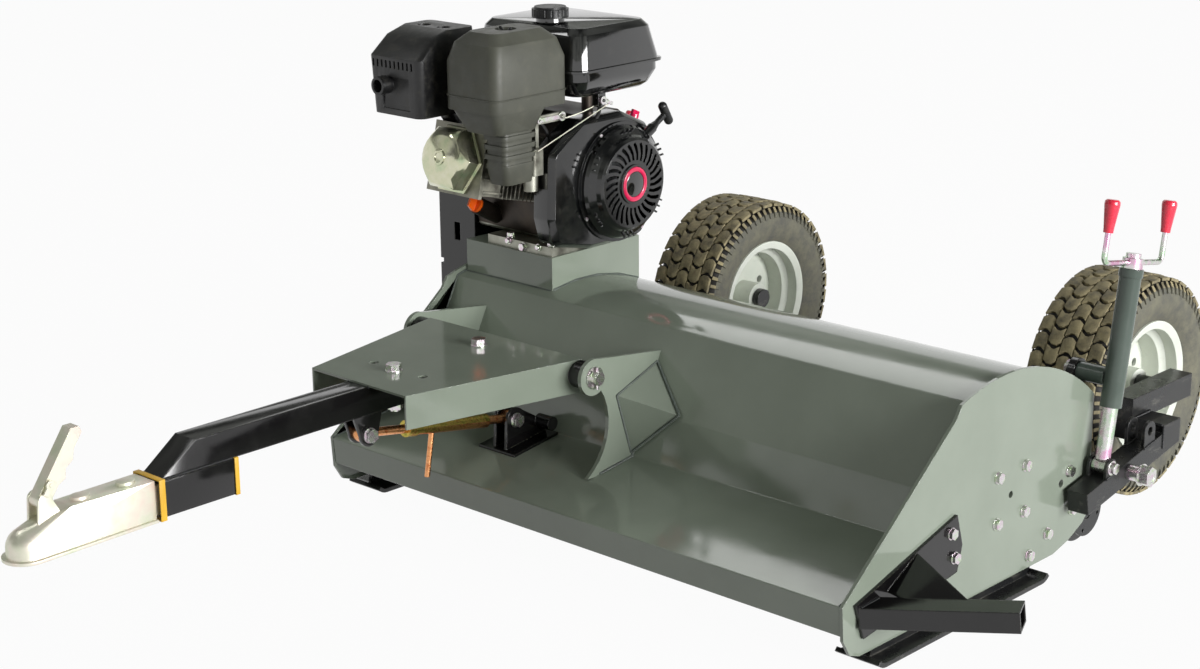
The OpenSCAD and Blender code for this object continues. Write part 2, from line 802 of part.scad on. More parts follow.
tank_box = [-602, 384, -312, 624];
tank_wall = 3;
tank_low = seam_z - 52;

module tank_upper(inset)
    hull() {
        slab(tank_box, 2 + inset, 30, seam_z, 6);
        slab(tank_box, 14 + inset, 30, seam_z + 62 - inset, 2);
        slab(tank_box, 24 + inset, 28, seam_z + 74 - inset, 2);
    }
module tank_lower(inset)
    hull() {
        slab(tank_box, 4 + inset, 30, seam_z - 20, 20);
        slab(tank_box, 16 + inset, 26, seam_z - 44 + inset, 2);
        slab(tank_box, 26 + inset, 24, tank_low + inset, 2);
    }

module fuel_tank()
    at_engine() color("#121314") {
        difference() {
            union() {
                tank_upper(0);
                tank_lower(0);
                slab(tank_box, -4, 32, seam_z - 3, 5);
                translate([-450, 453, seam_z + 70]) cylinder(r = 27, h = 14);
            }
            tank_upper(tank_wall);
            tank_lower(tank_wall);
            slab(tank_box, 8, 30, seam_z - 1, 2);
            translate([-450, 453, seam_z + 60]) cylinder(r = 18, h = 30);
        }
        block([-352, valve_at[0] - 10, valve_at[1] - 12], [-336, valve_at[0] + 10, tank_low + 1]);
        rod_x(valve_at[0], valve_at[1], -337, -329, 3);
    }

module fuel_cap()
    at_engine() color("#101112") translate([-450, 453, seam_z + 84 + move_gap]) {
        difference() {
            cylinder(r = 35, h = 16);
            for (i = [0:17]) rotate(i * 20) translate([36.5, 0, 3]) cylinder(r = 2.6, h = 20);
        }
        translate([0, 0, 16]) cylinder(r = 30, h = 4);
    }

cleaner_box = [-466, 188, -330, 378];
cleaner_base = 736;

module air_cleaner()
    at_engine() color("#55564b") {
        difference() {
            hull() {
                slab(cleaner_box, 0, 20, cleaner_base, 4);
                slab(cleaner_box, 0, 20, cleaner_base + 84, 4);
                slab(cleaner_box, 10, 20, cleaner_base + 118, 4);
                slab(cleaner_box, 30, 20, cleaner_base + 138, 3);
            }
            translate([-398, 283, cleaner_base + 131]) cylinder(r = 20, h = 20);
        }
        hull() {
            slab([-458, 196, -338, 330], 0, 18, cleaner_base - 4, 4);
            slab([-440, 206, -346, 318], 4, 14, cleaner_base - 42, 4);
        }
        slab([-400, 226, -348, 302], 0, 10, cleaner_base - 46, 5);
        for (i = [0:5])
            slab([-404, 222, -344, 306], i % 2 == 0 ? 0 : 4, 10, cleaner_base - 54 - i * 9, 9);
        hull() {
            slab([-404, 226, -346, 306], 0, 12, cleaner_base - 103, 4);
            slab([-402, 234, -352, 306], 0, 14, cleaner_base - 138, 4);
        }
    }

module cleaner_nut()
    at_engine() color("#202122") translate([-398, 283, cleaner_base + 131 + move_gap]) {
        cylinder(r = 8, h = 5);
        for (s = [-1, 1]) hull() {
            translate([s * 5, 0, 3]) sphere(r = 2.5, $fn = 12);
            translate([s * 13, 0, 11]) sphere(r = 3, $fn = 12);
        }
    }

muffler_box = [-640, 162, -500, 312];

module muffler()
    at_engine() color("#1a1b1c") {
        difference() {
            hull() {
                slab(muffler_box, 4, 16, 712, 4);
                slab(muffler_box, 0, 14, 816, 4);
                slab([-640, 196, -500, 312], 4, 14, 850, 4);
                slab([-632, 240, -508, 312], 0, 14, 866, 2);
            }
            for (i = [0:9]) translate([-628 + i * 11.5, 158, 800]) cube([4.5, 12, 14]);
            translate([-606, 158, 724]) cube([74, 10, 60]);
            for (p = [[-540, 262], [-592, 262]]) translate([p[0], p[1], 862]) cylinder(r = 13, h = 9);
        }
        translate([-594, 176, 768]) rotate([90, 0, 0]) difference() {
            cylinder(r = 17, h = 34);
            translate([0, 0, 4]) cylinder(r = 12, h = 40);
        }
        difference() {
            hull() {
                translate([-548, 268, 712]) cylinder(r = 17, h = 2, $fn = 24);
                translate([-536, 292, 668]) cylinder(r = 17, h = 2, $fn = 24);
            }
            on_cylinder() translate([-75, -70, 200]) cube([150, 130, 100]);
            on_cylinder() translate([-75, -70, 279.7]) cube([150, 136.3, 20]);
        }
    }

module carburettor()
    at_engine() color("#7d8078") {
        slab([-402, 306, -354, 335], 0, 6, 604, 50);
        translate([-378, 321, 572]) cylinder(r = 13.5, h = 32);
        block([-418, 262, 606], [-405, 330, 644]);
        block([-406, 308, 606], [-398, 330, 644]);
        translate([choke_at[0], choke_at[1], 652]) cylinder(r = 2.5, h = 7);
        block([-372, 324, 653], [-366, 332, 712]);
        block([-372, 330, 696], [-366, 400, 712]);
        rod_x(throttle_at[0], throttle_at[1], -366, -358, 4);
    }

lead_r = 4;
lead_route = [[-470, 290, 703], [-468, 306, 717], [-460, 330, 720], [-446, 350, 712],
    [-424, 366, 700], [-406, 378, 686], [-397, 385, 670], [-393, 387, 658], [-389.2, 387, 658]];
function smooth(p, n) = [for (i = [0:len(p) - 2]) for (k = [0:n - 1])
    let (t = k / n, a = p[max(i - 1, 0)], b = p[i], c = p[i + 1], d = p[min(i + 2, len(p) - 1)])
    b + (c - a) * t / 2 + (a * 2 - b * 5 + c * 4 - d) * t * t / 2
        + (b * 3 - a - c * 3 + d) * t * t * t / 2];
module tube(route, r, sides) {
    p = concat(smooth(route, 3), [route[len(route) - 1]]);
    n = len(p);
    ring = [for (i = [0:n - 1]) let (d = unit(p[min(i + 1, n - 1)] - p[max(i - 1, 0)]),
        u = unit(cross(d, [0.3, 0.2, 1])), v = cross(u, d))
        each [for (k = [0:sides - 1]) p[i] + r * (u * cos(k * 360 / sides) + v * sin(k * 360 / sides))]];
    faces = concat([[for (k = [0:sides - 1]) k]],
        [for (i = [0:n - 2], k = [0:sides - 1]) each [
            [i * sides + k, (i + 1) * sides + k, i * sides + (k + 1) % sides],
            [i * sides + (k + 1) % sides, (i + 1) * sides + k, (i + 1) * sides + (k + 1) % sides]]],
        [[for (k = [sides - 1:-1:0]) (n - 1) * sides + k]]);
    polyhedron(ring, [for (f = faces) reversed(f)]);
}

boot_at = crank_at + cylinder_out * 257 + cylinder_up * 60;

module plug_lead()
    at_engine() color("#0d0d0e") {
        tube(lead_route, lead_r, 8);
        translate([-470, boot_at[0], boot_at[1]]) rotate([-cylinder_rise, 0, 0])
            cylinder(r = 9, h = 24);
    }

module engine_bolts()
    at_engine() color("#c9ccb8") {
        for (p = foot_holes) translate([p[0], p[1], foot_top]) {
            translate([0, 0, -34]) cylinder(r = bolt_d / 2, h = 36);
            hex_head(15, 7);
        }
        translate([-440, 362, mount_z + 9]) rotate([90, 0, 0]) hex_head(13, 7);
        for (a = [30, 120, 210, 300]) on_crank(shroud_x1 + 5)
            rotate(a) translate([grille_r + 23.6, 0, 0]) cylinder(r = 3.5, h = 4);
    }

// Belt drive

pulley_x0 = -drawn_half - 88;
pulley_w = 44;
groove_w = belt_w + 0.6;
groove_mid = [pulley_w / 2 - 10.5, pulley_w / 2 + 10.5];
groove_depth = 12;

module pulley(bore)
    rotate([0, 90, 0]) difference() {
        cylinder(r = pulley_r, h = pulley_w);
        for (x = groove_mid) translate([0, 0, x - groove_w / 2]) difference() {
            cylinder(r = pulley_r + 1, h = groove_w);
            translate([0, 0, -1]) cylinder(r = pulley_r - groove_depth, h = groove_w + 2);
        }
        translate([0, 0, -1]) cylinder(r = bore, h = pulley_w + 2);
    }

module belt_line(r) {
    link = crank_at - [rotor_y, rotor_z];
    normal = left(unit(link));
    translate([rotor_y, rotor_z]) circle(r = r);
    translate(crank_at) circle(r = r);
    polygon([[rotor_y, rotor_z] + normal * r, [rotor_y, rotor_z] - normal * r,
        crank_at - normal * r, crank_at + normal * r]);
}

module drive_belts()
    at_engine() color("#0c0c0c") for (x = groove_mid)
        along_x(pulley_x0 + x - belt_w / 2, pulley_x0 + x + belt_w / 2) difference() {
            belt_line(pulley_r - 1);
            belt_line(pulley_r - groove_depth + 0.8);
        }

module driven_pulley()
    at_engine() color("#2a2c2e") translate([pulley_x0, rotor_y, rotor_z]) pulley(shaft_d / 2);

module crankshaft()
    at_engine() color("#7a7d80") {
        rod_x(crank_y, crank_z, pulley_x0 - 3, shroud_x1 - 8, crank_d / 2);
        translate([pulley_x0, crank_y, crank_z]) pulley(crank_d / 2);
        difference() {
            union() {
                rod_x(crank_y, crank_z, case_x1 + 4, case_x1 + 14, fan_r - 3);
                for (i = [0:15]) on_crank(case_x1 + 14) rotate(i * 22.5)
                    translate([52, -1.5, -1]) cube([fan_r - 56, 3, 20]);
                rod_x(crank_y, crank_z, case_x1 + 14, shroud_x1 - 10, 30);
            }
            rod_x(crank_y, crank_z, case_x1, shroud_x1, crank_d / 2);
        }
    }

// Rotor

tube_half = inner_half - housing_depth - 6;
head_w = 54;
lug_t = 6;
flail_x = [for (i = [0:flail_count - 1]) (i - (flail_count - 1) / 2) * flail_pitch];
function flail_angle(i) = 90 * (i % 4) + 22.5 * floor(i / 4) + 10;

module at_flail(i)
    translate([flail_x[i], rotor_y, rotor_z]) rotate([flail_angle(i), 0, 0]) children();

module rotor_tube()
    at_origin() color("#25282a") {
        difference() {
            union() {
                rod_x(rotor_y, rotor_z, -tube_half, tube_half, rotor_r);
                for (i = [0:flail_count - 1], s = [-1, 1]) at_flail(i) along_x(
                    s * 10.5 - lug_t / 2, s * 10.5 + lug_t / 2) {
                    translate([0, flail_pin_r0]) circle(r = 12);
                    translate([-12, 40]) square([24, flail_pin_r0 - 40]);
                }
            }
            rod_x(rotor_y, rotor_z, -tube_half + 12, tube_half - 12, rotor_r - 8);
            translate([34, rotor_y, rotor_z]) cylinder(r = 3, h = rotor_r + 5);
            for (i = [0:flail_count - 1]) at_flail(i)
                rod_x(0, flail_pin_r0, -16, 16, 6 + move_gap / 4);
        }
        rod_x(rotor_y, rotor_z, tube_half, inner_half - 3, shaft_d / 2);
        rod_x(rotor_y, rotor_z, engine_x + pulley_x0 - 3, -tube_half, shaft_d / 2);
        for (i = [0:flail_count - 1]) at_flail(i) {
            rod_x(0, flail_pin_r0, -14, 18, 6);
            rod_x(0, flail_pin_r0, -18, -14, 9);
        }
    }

module flails()
    at_origin() color("#5a5e60") for (i = [0:flail_count - 1]) at_flail(i) {
        along_x(-6, 6) difference() {
            union() {
                translate([0, flail_pin_r0]) circle(r = 12);
                translate([-6, flail_pin_r0]) square([12, flail_sweep - flail_pin_r0 - 18]);
            }
            translate([0, flail_pin_r0]) circle(r = 6.3);
        }
        along_x(-head_w / 2, head_w / 2) polygon([[-12, flail_sweep - 20], [14, flail_sweep - 20],
            [12, flail_sweep - 1.2], [-12, flail_sweep - 4]]);
    }

// Rear roller

roller_half = inner_half - web_t - 12;

module rear_roller()
    at_origin() color("#1d1f20") {
        difference() {
            rod_x(roller_y, roller_z, -roller_half, roller_half, roller_r);
            rod_x(roller_y, roller_z, -roller_half + 14, roller_half - 14, roller_r - 5);
            translate([0, roller_y, roller_z]) cylinder(r = 3, h = roller_r + 5);
        }
        both_sides() rod_x(roller_y, roller_z, roller_half, inner_half - 1, roller_shaft_d / 2);
    }

// Wheel arms

module on_arm()
    translate([0, pivot_y, pivot_z]) rotate([arm_pitch, 0, 0]) children();

upper_x0 = track_half + 87;
upper_x1 = upper_x0 + 45;
jack_pin_d = 16;
jack_pin_y = pivot_y - jack_pin_back;
jack_pin_z = pivot_z + jack_pin_up;
jack_r_in = 14;

module jack_ears(y, z, tip_r)
    for (x = [arm_x0, arm_x1 - 6]) along_x(x, x + 6) difference() {
        union() {
            translate([y, z]) circle(r = tip_r);
            translate([y - tip_r, z - 40]) square([2 * tip_r, 40]);
        }
        translate([0, -100]) translate([pivot_y, pivot_z]) rotate(arm_pitch)
            translate([-200, 40]) square([500, 60]);
        translate([y, z]) circle(r = jack_pin_d / 2);
    }

second_ears = [825, 205];

module arm()
    difference() {
        union() {
            on_arm() block([arm_x0, -arm_front, -arm_w / 2], [arm_x1, arm_rear, arm_w / 2]);
            jack_ears(jack_pin_y, jack_pin_z, 16);
            jack_ears(second_ears[0], second_ears[1], 18);
            block([upper_x0, 872, 160], [arm_x1, 932, 203]);
            block([upper_x0, 868, 196], [upper_x1, 1078, 240]);
            rod_x(axle_y, axle_z, track_half - 62, upper_x1, axle_d / 2);
            rod_x(axle_y, axle_z, track_half - 62, track_half - 48, 20);
            rod_x(axle_y, axle_z, track_half + 47, upper_x0, 20);
            rod_x(jack_pin_y, jack_pin_z, arm_x0 - 1, arm_x1, jack_pin_d / 2);
        }
        on_arm() block([arm_x0 + arm_wall, -arm_front + arm_wall, -arm_w / 2 + arm_wall],
            [arm_x1 - arm_wall, arm_rear - arm_wall, arm_w / 2 - arm_wall]);
        rod_x(pivot_y, pivot_z, arm_x0 - 1, arm_x1 + 1, pivot_d / 2 + run_fit);
    }

module arm_near()
    at_origin() color("#1b1c1d") arm();
module arm_far()
    at_origin() color("#1b1c1d") mirror([1, 0, 0]) arm();

// Wheels

bead_r = 112;
bead_x = 62;
hub_r = 30;

module rim()
    difference() {
        rotate_extrude() polygon(concat(
            [[hub_r, -46], [hub_r, -4], [80, -4], [bead_r - 16, -10], [bead_r - 16, -34],
            [bead_r - 3, -42], [bead_r - 3, -bead_x - 3], [rim_d / 2 - 3, -bead_x - 7],
            [rim_d / 2, -bead_x - 7], [rim_d / 2, -bead_x], [bead_r, -bead_x + 2],
            [bead_r, -42], [bead_r - 12, -32], [bead_r - 12, 32], [bead_r, 42],
            [bead_r, bead_x - 2], [rim_d / 2, bead_x], [rim_d / 2, bead_x + 7],
            [rim_d / 2 - 3, bead_x + 7], [bead_r - 3, bead_x + 3], [bead_r - 3, 42],
            [bead_r - 16, 34], [bead_r - 16, -2], [80, 2], [hub_r, 2], [hub_r, 46],
            [axle_d / 2 + run_fit, 46], [axle_d / 2 + run_fit, -46]]));
        for (i = [0:3]) rotate(i * 90 + 20) translate([62, 0, -20]) cylinder(r = 8, h = 40);
    }

module tread_row(x0, x1, r, turn)
    translate([0, 0, x0]) rotate(turn) linear_extrude(x1 - x0) difference() {
        circle(r = r);
        circle(r = tyre_r - tread_depth - 7);
        for (i = [0:tread_blocks - 1]) rotate(i * 360 / tread_blocks)
            translate([tyre_r - tread_depth - 5, -2.5]) square([30, 5]);
    }

module tyre() {
    half = tyre_w / 2;
    base_r = tyre_r - tread_depth;
    rotate_extrude() polygon([[bead_r, -bead_x + 2], [rim_d / 2, -bead_x], [150, -half + 3],
        [168, -half], [186, -half + 4], [base_r - 5, -half + 14], [base_r, -half + 30],
        [base_r, half - 30], [base_r - 5, half - 14], [186, half - 4], [168, half],
        [150, half - 3], [rim_d / 2, bead_x], [bead_r, bead_x - 2], [bead_r, bead_x - 16],
        [140, half - 12], [168, half - 9], [186, half - 16], [base_r - 12, half - 30],
        [base_r - 12, -half + 30], [186, -half + 16], [168, -half + 9], [140, -half + 12],
        [bead_r, -bead_x + 16]]);
    block_turn = 180 / tread_blocks;
    tread_row(-12, 12, tyre_r, 0);
    for (s = [0, 1]) mirror([0, 0, s]) {
        tread_row(14, 37, tyre_r - 1.5, block_turn);
        tread_row(39, 62, tyre_r - 4.5, 0);
    }
}

module at_wheel(side)
    translate([side * track_half, axle_y, axle_z]) rotate([0, 90, 0]) children();

module tyre_near()
    at_origin() color("#4b4740") at_wheel(1) tyre();
module tyre_far()
    at_origin() color("#4b4740") at_wheel(-1) tyre();
module rim_near()
    at_origin() color("#dfe4da") at_wheel(1) rim();
module rim_far()
    at_origin() color("#dfe4da") at_wheel(-1) rim();

// Jacks

jack_lean = atan2(trunnion_y - jack_pin_y, trunnion_z - jack_pin_z);
jack_len = norm([trunnion_y - jack_pin_y, trunnion_z - jack_pin_z]);
jack_r = jack_d / 2;
bore_r = jack_r - jack_wall;
slide_r = bore_r - move_gap;
screw_r = 8;

module on_jack()
    translate([jack_x, trunnion_y, trunnion_z]) rotate([-jack_lean, 0, 0]) children();

module jack_tube()
    difference() {
        union() {
            on_jack() translate([0, 0, -jack_below]) cylinder(r = jack_r, h = jack_below + jack_above);
            on_jack() translate([0, 0, jack_above - 14]) cylinder(r = jack_r + 2, h = 14);
            rod_x(trunnion_y, trunnion_z, lug_x1 + move_gap, jack_x - jack_r + 4, 17);
        }
        on_jack() translate([0, 0, -jack_below - 1])
            cylinder(r = bore_r, h = jack_below + jack_above + 2);
        rod_x(trunnion_y, trunnion_z, lug_x1, jack_x - jack_r - 2, trunnion_d / 2 + run_fit);
    }

module jack_slide()
    difference() {
        union() {
            on_jack() translate([0, 0, -jack_len + 12]) cylinder(r = slide_r, h = jack_len + 100);
            rod_x(jack_pin_y, jack_pin_z, arm_x0 + 7, arm_x1 - 7, 13);
        }
        on_jack() translate([0, 0, -jack_len + 50]) cylinder(r = screw_r + move_gap, h = 400);
        rod_x(jack_pin_y, jack_pin_z, arm_x0, arm_x1, jack_pin_d / 2 + loop_play);
    }

crank_bend = 12;
rod_r = 5;
rod_up = 52;

module crank_turn(side)
    mirror([0, side, 0]) {
        translate([0, crank_reach - crank_bend, 0]) rotate([90, 0, 0])
            cylinder(r = rod_r, h = crank_reach - crank_bend - 10);
        translate([0, crank_reach - crank_bend, crank_bend]) rotate([0, -90, 0])
            rotate_extrude(angle = -90) translate([-crank_bend, 0]) circle(r = rod_r);
        translate([0, crank_reach, crank_bend]) cylinder(r = rod_r, h = rod_up - crank_bend + 8);
    }

module jack_crank()
    on_jack() translate([0, 0, jack_above + move_gap]) {
        cylinder(r = jack_r - 1, h = 18);
        translate([0, 0, 18]) cylinder(r = jack_r - 6, h = 8);
        translate([0, 0, -jack_above - 40]) cylinder(r = screw_r, h = jack_above + 42);
        for (s = [0, 1]) translate([0, 0, 10]) crank_turn(s);
    }

module jack_grips()
    on_jack() translate([0, 0, jack_above + move_gap + 10 + rod_up])
        for (s = [-1, 1]) translate([0, s * crank_reach, 0]) difference() {
            rotate_extrude() polygon([[0, 0], [8.5, 0], [9, 8], [13.5, grip_len - 8],
                [13, grip_len - 3], [10, grip_len], [0, grip_len]]);
            translate([0, 0, -1]) cylinder(r = rod_r, h = 9);
        }

module jack_tube_near()
    at_origin() color("#566058") jack_tube();
module jack_tube_far()
    at_origin() color("#566058") mirror([1, 0, 0]) jack_tube();
module jack_slide_near()
    at_origin() color("#c9ccb8") jack_slide();
module jack_slide_far()
    at_origin() color("#c9ccb8") mirror([1, 0, 0]) jack_slide();
module jack_crank_near()
    at_origin() color("#d8dccd") jack_crank();
module jack_crank_far()
    at_origin() color("#d8dccd") mirror([1, 0, 0]) jack_crank();
module jack_grips_near()
    at_origin() color("#e8284a") jack_grips();
module jack_grips_far()
    at_origin() color("#e8284a") mirror([1, 0, 0]) jack_grips();

// Hitch frame, a pressed channel with two slanted side flanges

frame_y1 = 144;
bolt_reach = bolt_front + bolt_rear;
frame_bolt_d = 16;
spacer_r = 25;
spacer_end = ear_half - ear_t / 2 - move_gap;

module frame_plan(grow)
    polygon([[-frame_front - grow, -frame_y0], [frame_front + grow, -frame_y0],
        [frame_rear + grow, frame_y1], [-frame_rear - grow, frame_y1]]);

module hitch_frame()
    at_origin() color("#5d665f") translate([-hitch_x, 0, 0]) difference() {
        union() {
            translate([0, 0, frame_top - frame_h]) linear_extrude(frame_h) difference() {
                frame_plan(0);
                polygon([[-frame_front + frame_t, -frame_y0 - 1], [frame_front - frame_t, -frame_y0 - 1],
                    [frame_rear - frame_t, frame_y1 + 1], [-frame_rear + frame_t, frame_y1 + 1]]);
            }
            translate([0, 0, frame_top - frame_t]) linear_extrude(frame_t) frame_plan(0);
            both_sides() rod_x(tilt_y, tilt_z, frame_rear - 14, spacer_end, spacer_r);
        }
        both_sides() rod_x(tilt_y, tilt_z, 100, spacer_end + 1, tilt_d / 2);
        for (y = [-bolt_front, bolt_rear]) translate([0, y, frame_top - 20])
            cylinder(r = frame_bolt_d / 2 + 0.5, h = 40);
        for (a = [-swing_angle, swing_angle])
            translate([0, bolt_rear, frame_top - 20]) rotate(a) translate([0, -bolt_reach, 0])
                cylinder(r = frame_bolt_d / 2 + 0.5, h = 40);
    }

// Drawbar with the receiver for the coupler

bar_top = frame_top - frame_t;
bar_low = bar_top - bar_w;
bar_rear = 112;
bar_nose = 68;
eye_lug_r = 20;

module drawbar()
    at_origin() color("#141516") translate([-hitch_x, 0, 0]) {
        difference() {
            along_x(-bar_w / 2, bar_w / 2) polygon([[-bar_front, bar_top], [bar_rear, bar_top],
                [bar_rear, bar_low], [-bar_front - bar_nose, bar_low]]);
            along_x(-bar_w / 2 + bar_wall, bar_w / 2 - bar_wall) polygon([
                [-bar_front + 2, bar_top - bar_wall], [bar_rear + 1, bar_top - bar_wall],
                [bar_rear + 1, bar_low + bar_wall], [-bar_front - bar_nose + 20, bar_low + bar_wall]]);
            for (y = [-bolt_front, bolt_rear]) translate([0, y, bar_low - 10])
                cylinder(r = frame_bolt_d / 2 + 0.5, h = bar_w + 20);
        }
        eye_cheeks(-eye_front_y, eye_front_z, eye_lug_r, [[-eye_front_y - eye_lug_r, eye_front_z],
            [-eye_front_y - eye_lug_r - 14, bar_low], [-eye_front_y + eye_lug_r + 10, bar_low],
            [-eye_front_y + eye_lug_r, eye_front_z]]);
        difference() {
            block([-receiver_w / 2, -receiver_y0, bar_low - receiver_w],
                [receiver_w / 2, -receiver_y1, bar_low]);
            block([-receiver_w / 2 + bar_wall, -receiver_y0 - 1, bar_low - receiver_w + bar_wall],
                [receiver_w / 2 - bar_wall, -receiver_y1 + 1, bar_low - bar_wall]);
        }
    }

module frame_bolt(y)
    translate([0, y, 0]) {
        translate([0, 0, frame_top]) hex_head(24, 11);
        translate([0, 0, bar_low - 18]) cylinder(r = frame_bolt_d / 2, h = bar_w + 4 + 22);
        translate([0, 0, bar_low]) rotate([180, 0, 0]) difference() {
            hex_head(24, 12);
            translate([0, 0, -1]) cylinder(r = frame_bolt_d / 2, h = 20);
        }
    }

pin_out = ear_half + ear_t / 2 + move_gap;

module frame_bolts()
    at_origin() color("#c9ccb8") {
        translate([-hitch_x, 0, 0]) {
            frame_bolt(-bolt_front);
            frame_bolt(bolt_rear);
            both_sides() {
                rod_x(tilt_y, tilt_z, frame_rear - 24, pin_out + 14, tilt_d / 2);
                rod_x(tilt_y, tilt_z, pin_out, pin_out + 3, tilt_d / 2 + 8);
                translate([pin_out + 8, tilt_y, tilt_z - 20]) cylinder(r = 2.5, h = 40);
            }
        }
        eye_bolt(-eye_front_y, eye_front_z, cheek_out);
    }

// Ball coupler

nose_r = ball_d / 2 + coupler_t + 1;
socket_r = ball_d / 2 + 0.3;
shank_half = receiver_w / 2 - bar_wall;
shank_low = bar_low - receiver_w + bar_wall;
shank_high = bar_low - bar_wall;
body_rear = -receiver_y0 - 8;
coupler_low = 228;
lever_y = 30 - ball_y;
lever_z = 312;
lever_half = 11;

module coupler_skin(inset)
    hull() {
        translate([0, -ball_y, ball_z]) sphere(r = nose_r - inset, $fn = 32);
        translate([0, -ball_y, coupler_low]) cylinder(r = nose_r - inset, h = 4, $fn = 32);
        translate([-26 + inset, body_rear - 8, coupler_low])
            cube([52 - 2 * inset, 8, 68 - inset]);
        translate([-22 + inset, body_rear - 150, coupler_low])
            cube([44 - 2 * inset, 8, 68 - inset]);
    }

module coupler()
    at_origin() color("#cfd3c4") translate([-hitch_x, 0, 0]) {
        difference() {
            union() {
                coupler_skin(0);
                hull() {
                    translate([0, -ball_y, coupler_low]) cylinder(r = nose_r + 7, h = 5, $fn = 32);
                    translate([-31, body_rear - 6, coupler_low]) cube([62, 6, 5]);
                }
                for (s = [-1, 1]) along_x(s * (lever_half + 2.5) - 2, s * (lever_half + 2.5) + 2)
                    difference() {
                        union() {
                            translate([lever_y, lever_z]) circle(r = 13);
                            polygon([[lever_y - 16, 270], [lever_y - 12.9, lever_z + 1],
                                [lever_y + 12.9, lever_z + 1], [lever_y + 26, 288],
                                [lever_y + 26, 270]]);
                        }
                        translate([lever_y, lever_z]) circle(r = 5);
                    }
            }
            translate([0, 0, -0.01]) difference() {
                coupler_skin(coupler_t);
                translate([-40, body_rear - 14, 0]) cube([80, 40, 400]);
            }
            translate([0, -ball_y, ball_z]) sphere(r = socket_r);
            translate([-60, -ball_y - 60, 0]) cube([120, 400, coupler_low]);
        }
        difference() {
            block([-shank_half, body_rear - 0.01, shank_low], [shank_half, -receiver_y1 - 40, shank_high]);
            block([-shank_half + 5, body_rear - 2, shank_low - 1],
                [shank_half - 5, -receiver_y1 - 30, shank_high - 5]);
        }
        rod_x(lever_y, lever_z, -lever_half - 4.5, lever_half + 4.5, 5);
        for (y = [100 - ball_y, body_rear - 36]) translate([0, y, coupler_low + 67])
            scale([1, 1.25, 1]) cylinder(r = 13, h = 6);
    }

// Lever along its own axis, s = 0 at the pivot
lever_rest = 57;

module coupler_lever()
    at_origin() color("#d8dccd") translate([-hitch_x, 0, 0]) {
        difference() {
            lever_body();
            lever_hollow();
        }
        along_x(lever_half - 1, lever_half + 9) translate([lever_y, lever_z]) rotate(lever_rest)
            translate(latch_at) circle(r = 3);
    }

module lever_body()
        along_x(-lever_half, lever_half) translate([lever_y, lever_z]) rotate(lever_rest)
            difference() {
                union() {
                    circle(r = 12);
                    polygon([[0, -12], [30, -13], [44, -20], [58, -13], [74, -19], [90, -12],
                        [lever_len - 6, -13], [lever_len, -4], [lever_len - 8, 8], [60, 10], [0, 12]]);
                }
                circle(r = 5 + run_fit);
            }

module lever_hollow()
    along_x(-lever_half + 3, lever_half - 3) translate([lever_y, lever_z]) rotate(lever_rest)
        polygon([[18, -30], [36, -9], [lever_len - 14, -9], [lever_len - 14, -30]]);

latch_at = [26, 5];
module coupler_latch()
    at_origin() color("#c9ccb8") translate([-hitch_x, 0, 0]) along_x(lever_half + 5, lever_half + 8)
        translate([lever_y, lever_z]) rotate(lever_rest) translate(latch_at) difference() {
            union() {
                circle(r = 8);
                translate([-18, -5]) square([18, 10]);
            }
            circle(r = 3 + run_fit);
        }

// Turnbuckle between drawbar and apron, z along its axis from the rear eye to the front

link = [-eye_front_y - eye_rear_y, eye_front_z - eye_rear_z];
link_len = norm(link);
link_slope = atan2(link[1], -link[0]);
buckle_start = 62;
buckle_len = 196;
bar_at = 193;
bar_drop = 92;

module on_link()
    translate([-hitch_x, eye_rear_y, eye_rear_z]) rotate([90 - link_slope, 0, 0]) children();

module eye(hole, r)
    difference() {
        translate([-eye_w / 2, 0, 0]) rotate([0, 90, 0]) cylinder(r = r, h = eye_w);
        translate([-eye_w, 0, 0]) rotate([0, 90, 0]) cylinder(r = hole, h = 2 * eye_w);
    }

module turnbuckle_rear()
    at_origin() color("#b87a4a") on_link() {
        eye(eye_bolt_d / 2 + run_fit, 15);
        difference() {
            translate([0, 0, 10]) cylinder(r = rod_d / 2, h = buckle_start + 40);
            rod_x(0, 0, -20, 20, eye_bolt_d / 2 + 1);
        }
    }

module turnbuckle_front()
    at_origin() color("#b87a4a") on_link() translate([0, 0, link_len]) {
        eye(eye_bolt_d / 2 + loop_play, 16);
        translate([0, 0, 14 - link_len + buckle_start + buckle_len - 50])
            cylinder(r = rod_d / 2, h = link_len - buckle_start - buckle_len + 50 - 28);
    }

module turnbuckle_body()
    at_origin() color("#9c8a4a") on_link() {
        difference() {
            union() {
                translate([0, 0, buckle_start]) cylinder(r = buckle_d / 2, h = buckle_len);
                translate([0, 0, buckle_start + buckle_len - 22]) cylinder(r = buckle_d / 2 + 2, h = 22);
            }
            translate([0, 0, buckle_start - 1]) cylinder(r = rod_d / 2 + run_fit, h = 60);
            translate([0, 0, buckle_start + 58]) cylinder(r = rod_d / 2 + run_fit, h = buckle_len);
        }
        translate([0, -bar_drop, bar_at]) rotate([-90, 0, 0]) cylinder(r = 5, h = bar_drop + 17);
    }

// Small controls of the engine

handle_at = [-322, 598, 657];
handle_rise = 30;

module recoil_handle()
    at_engine() color("#101112") translate(handle_at) rotate([handle_rise, 0, 0]) {
        rotate([-90, 0, 0]) cylinder(r1 = 9, r2 = 6, h = 14);
        rotate([-90, 0, 0]) cylinder(r = 6, h = 40);
        hull() for (z = [-17, 17]) translate([0, 44, z]) sphere(r = 9, $fn = 20);
    }

shroud_top = [[610, 662], [540, 694]];
shroud_normal = -left(unit(shroud_top[1] - shroud_top[0]));
switch_at = shroud_top[0] + (shroud_top[1] - shroud_top[0]) * 0.22 + shroud_normal * move_gap;

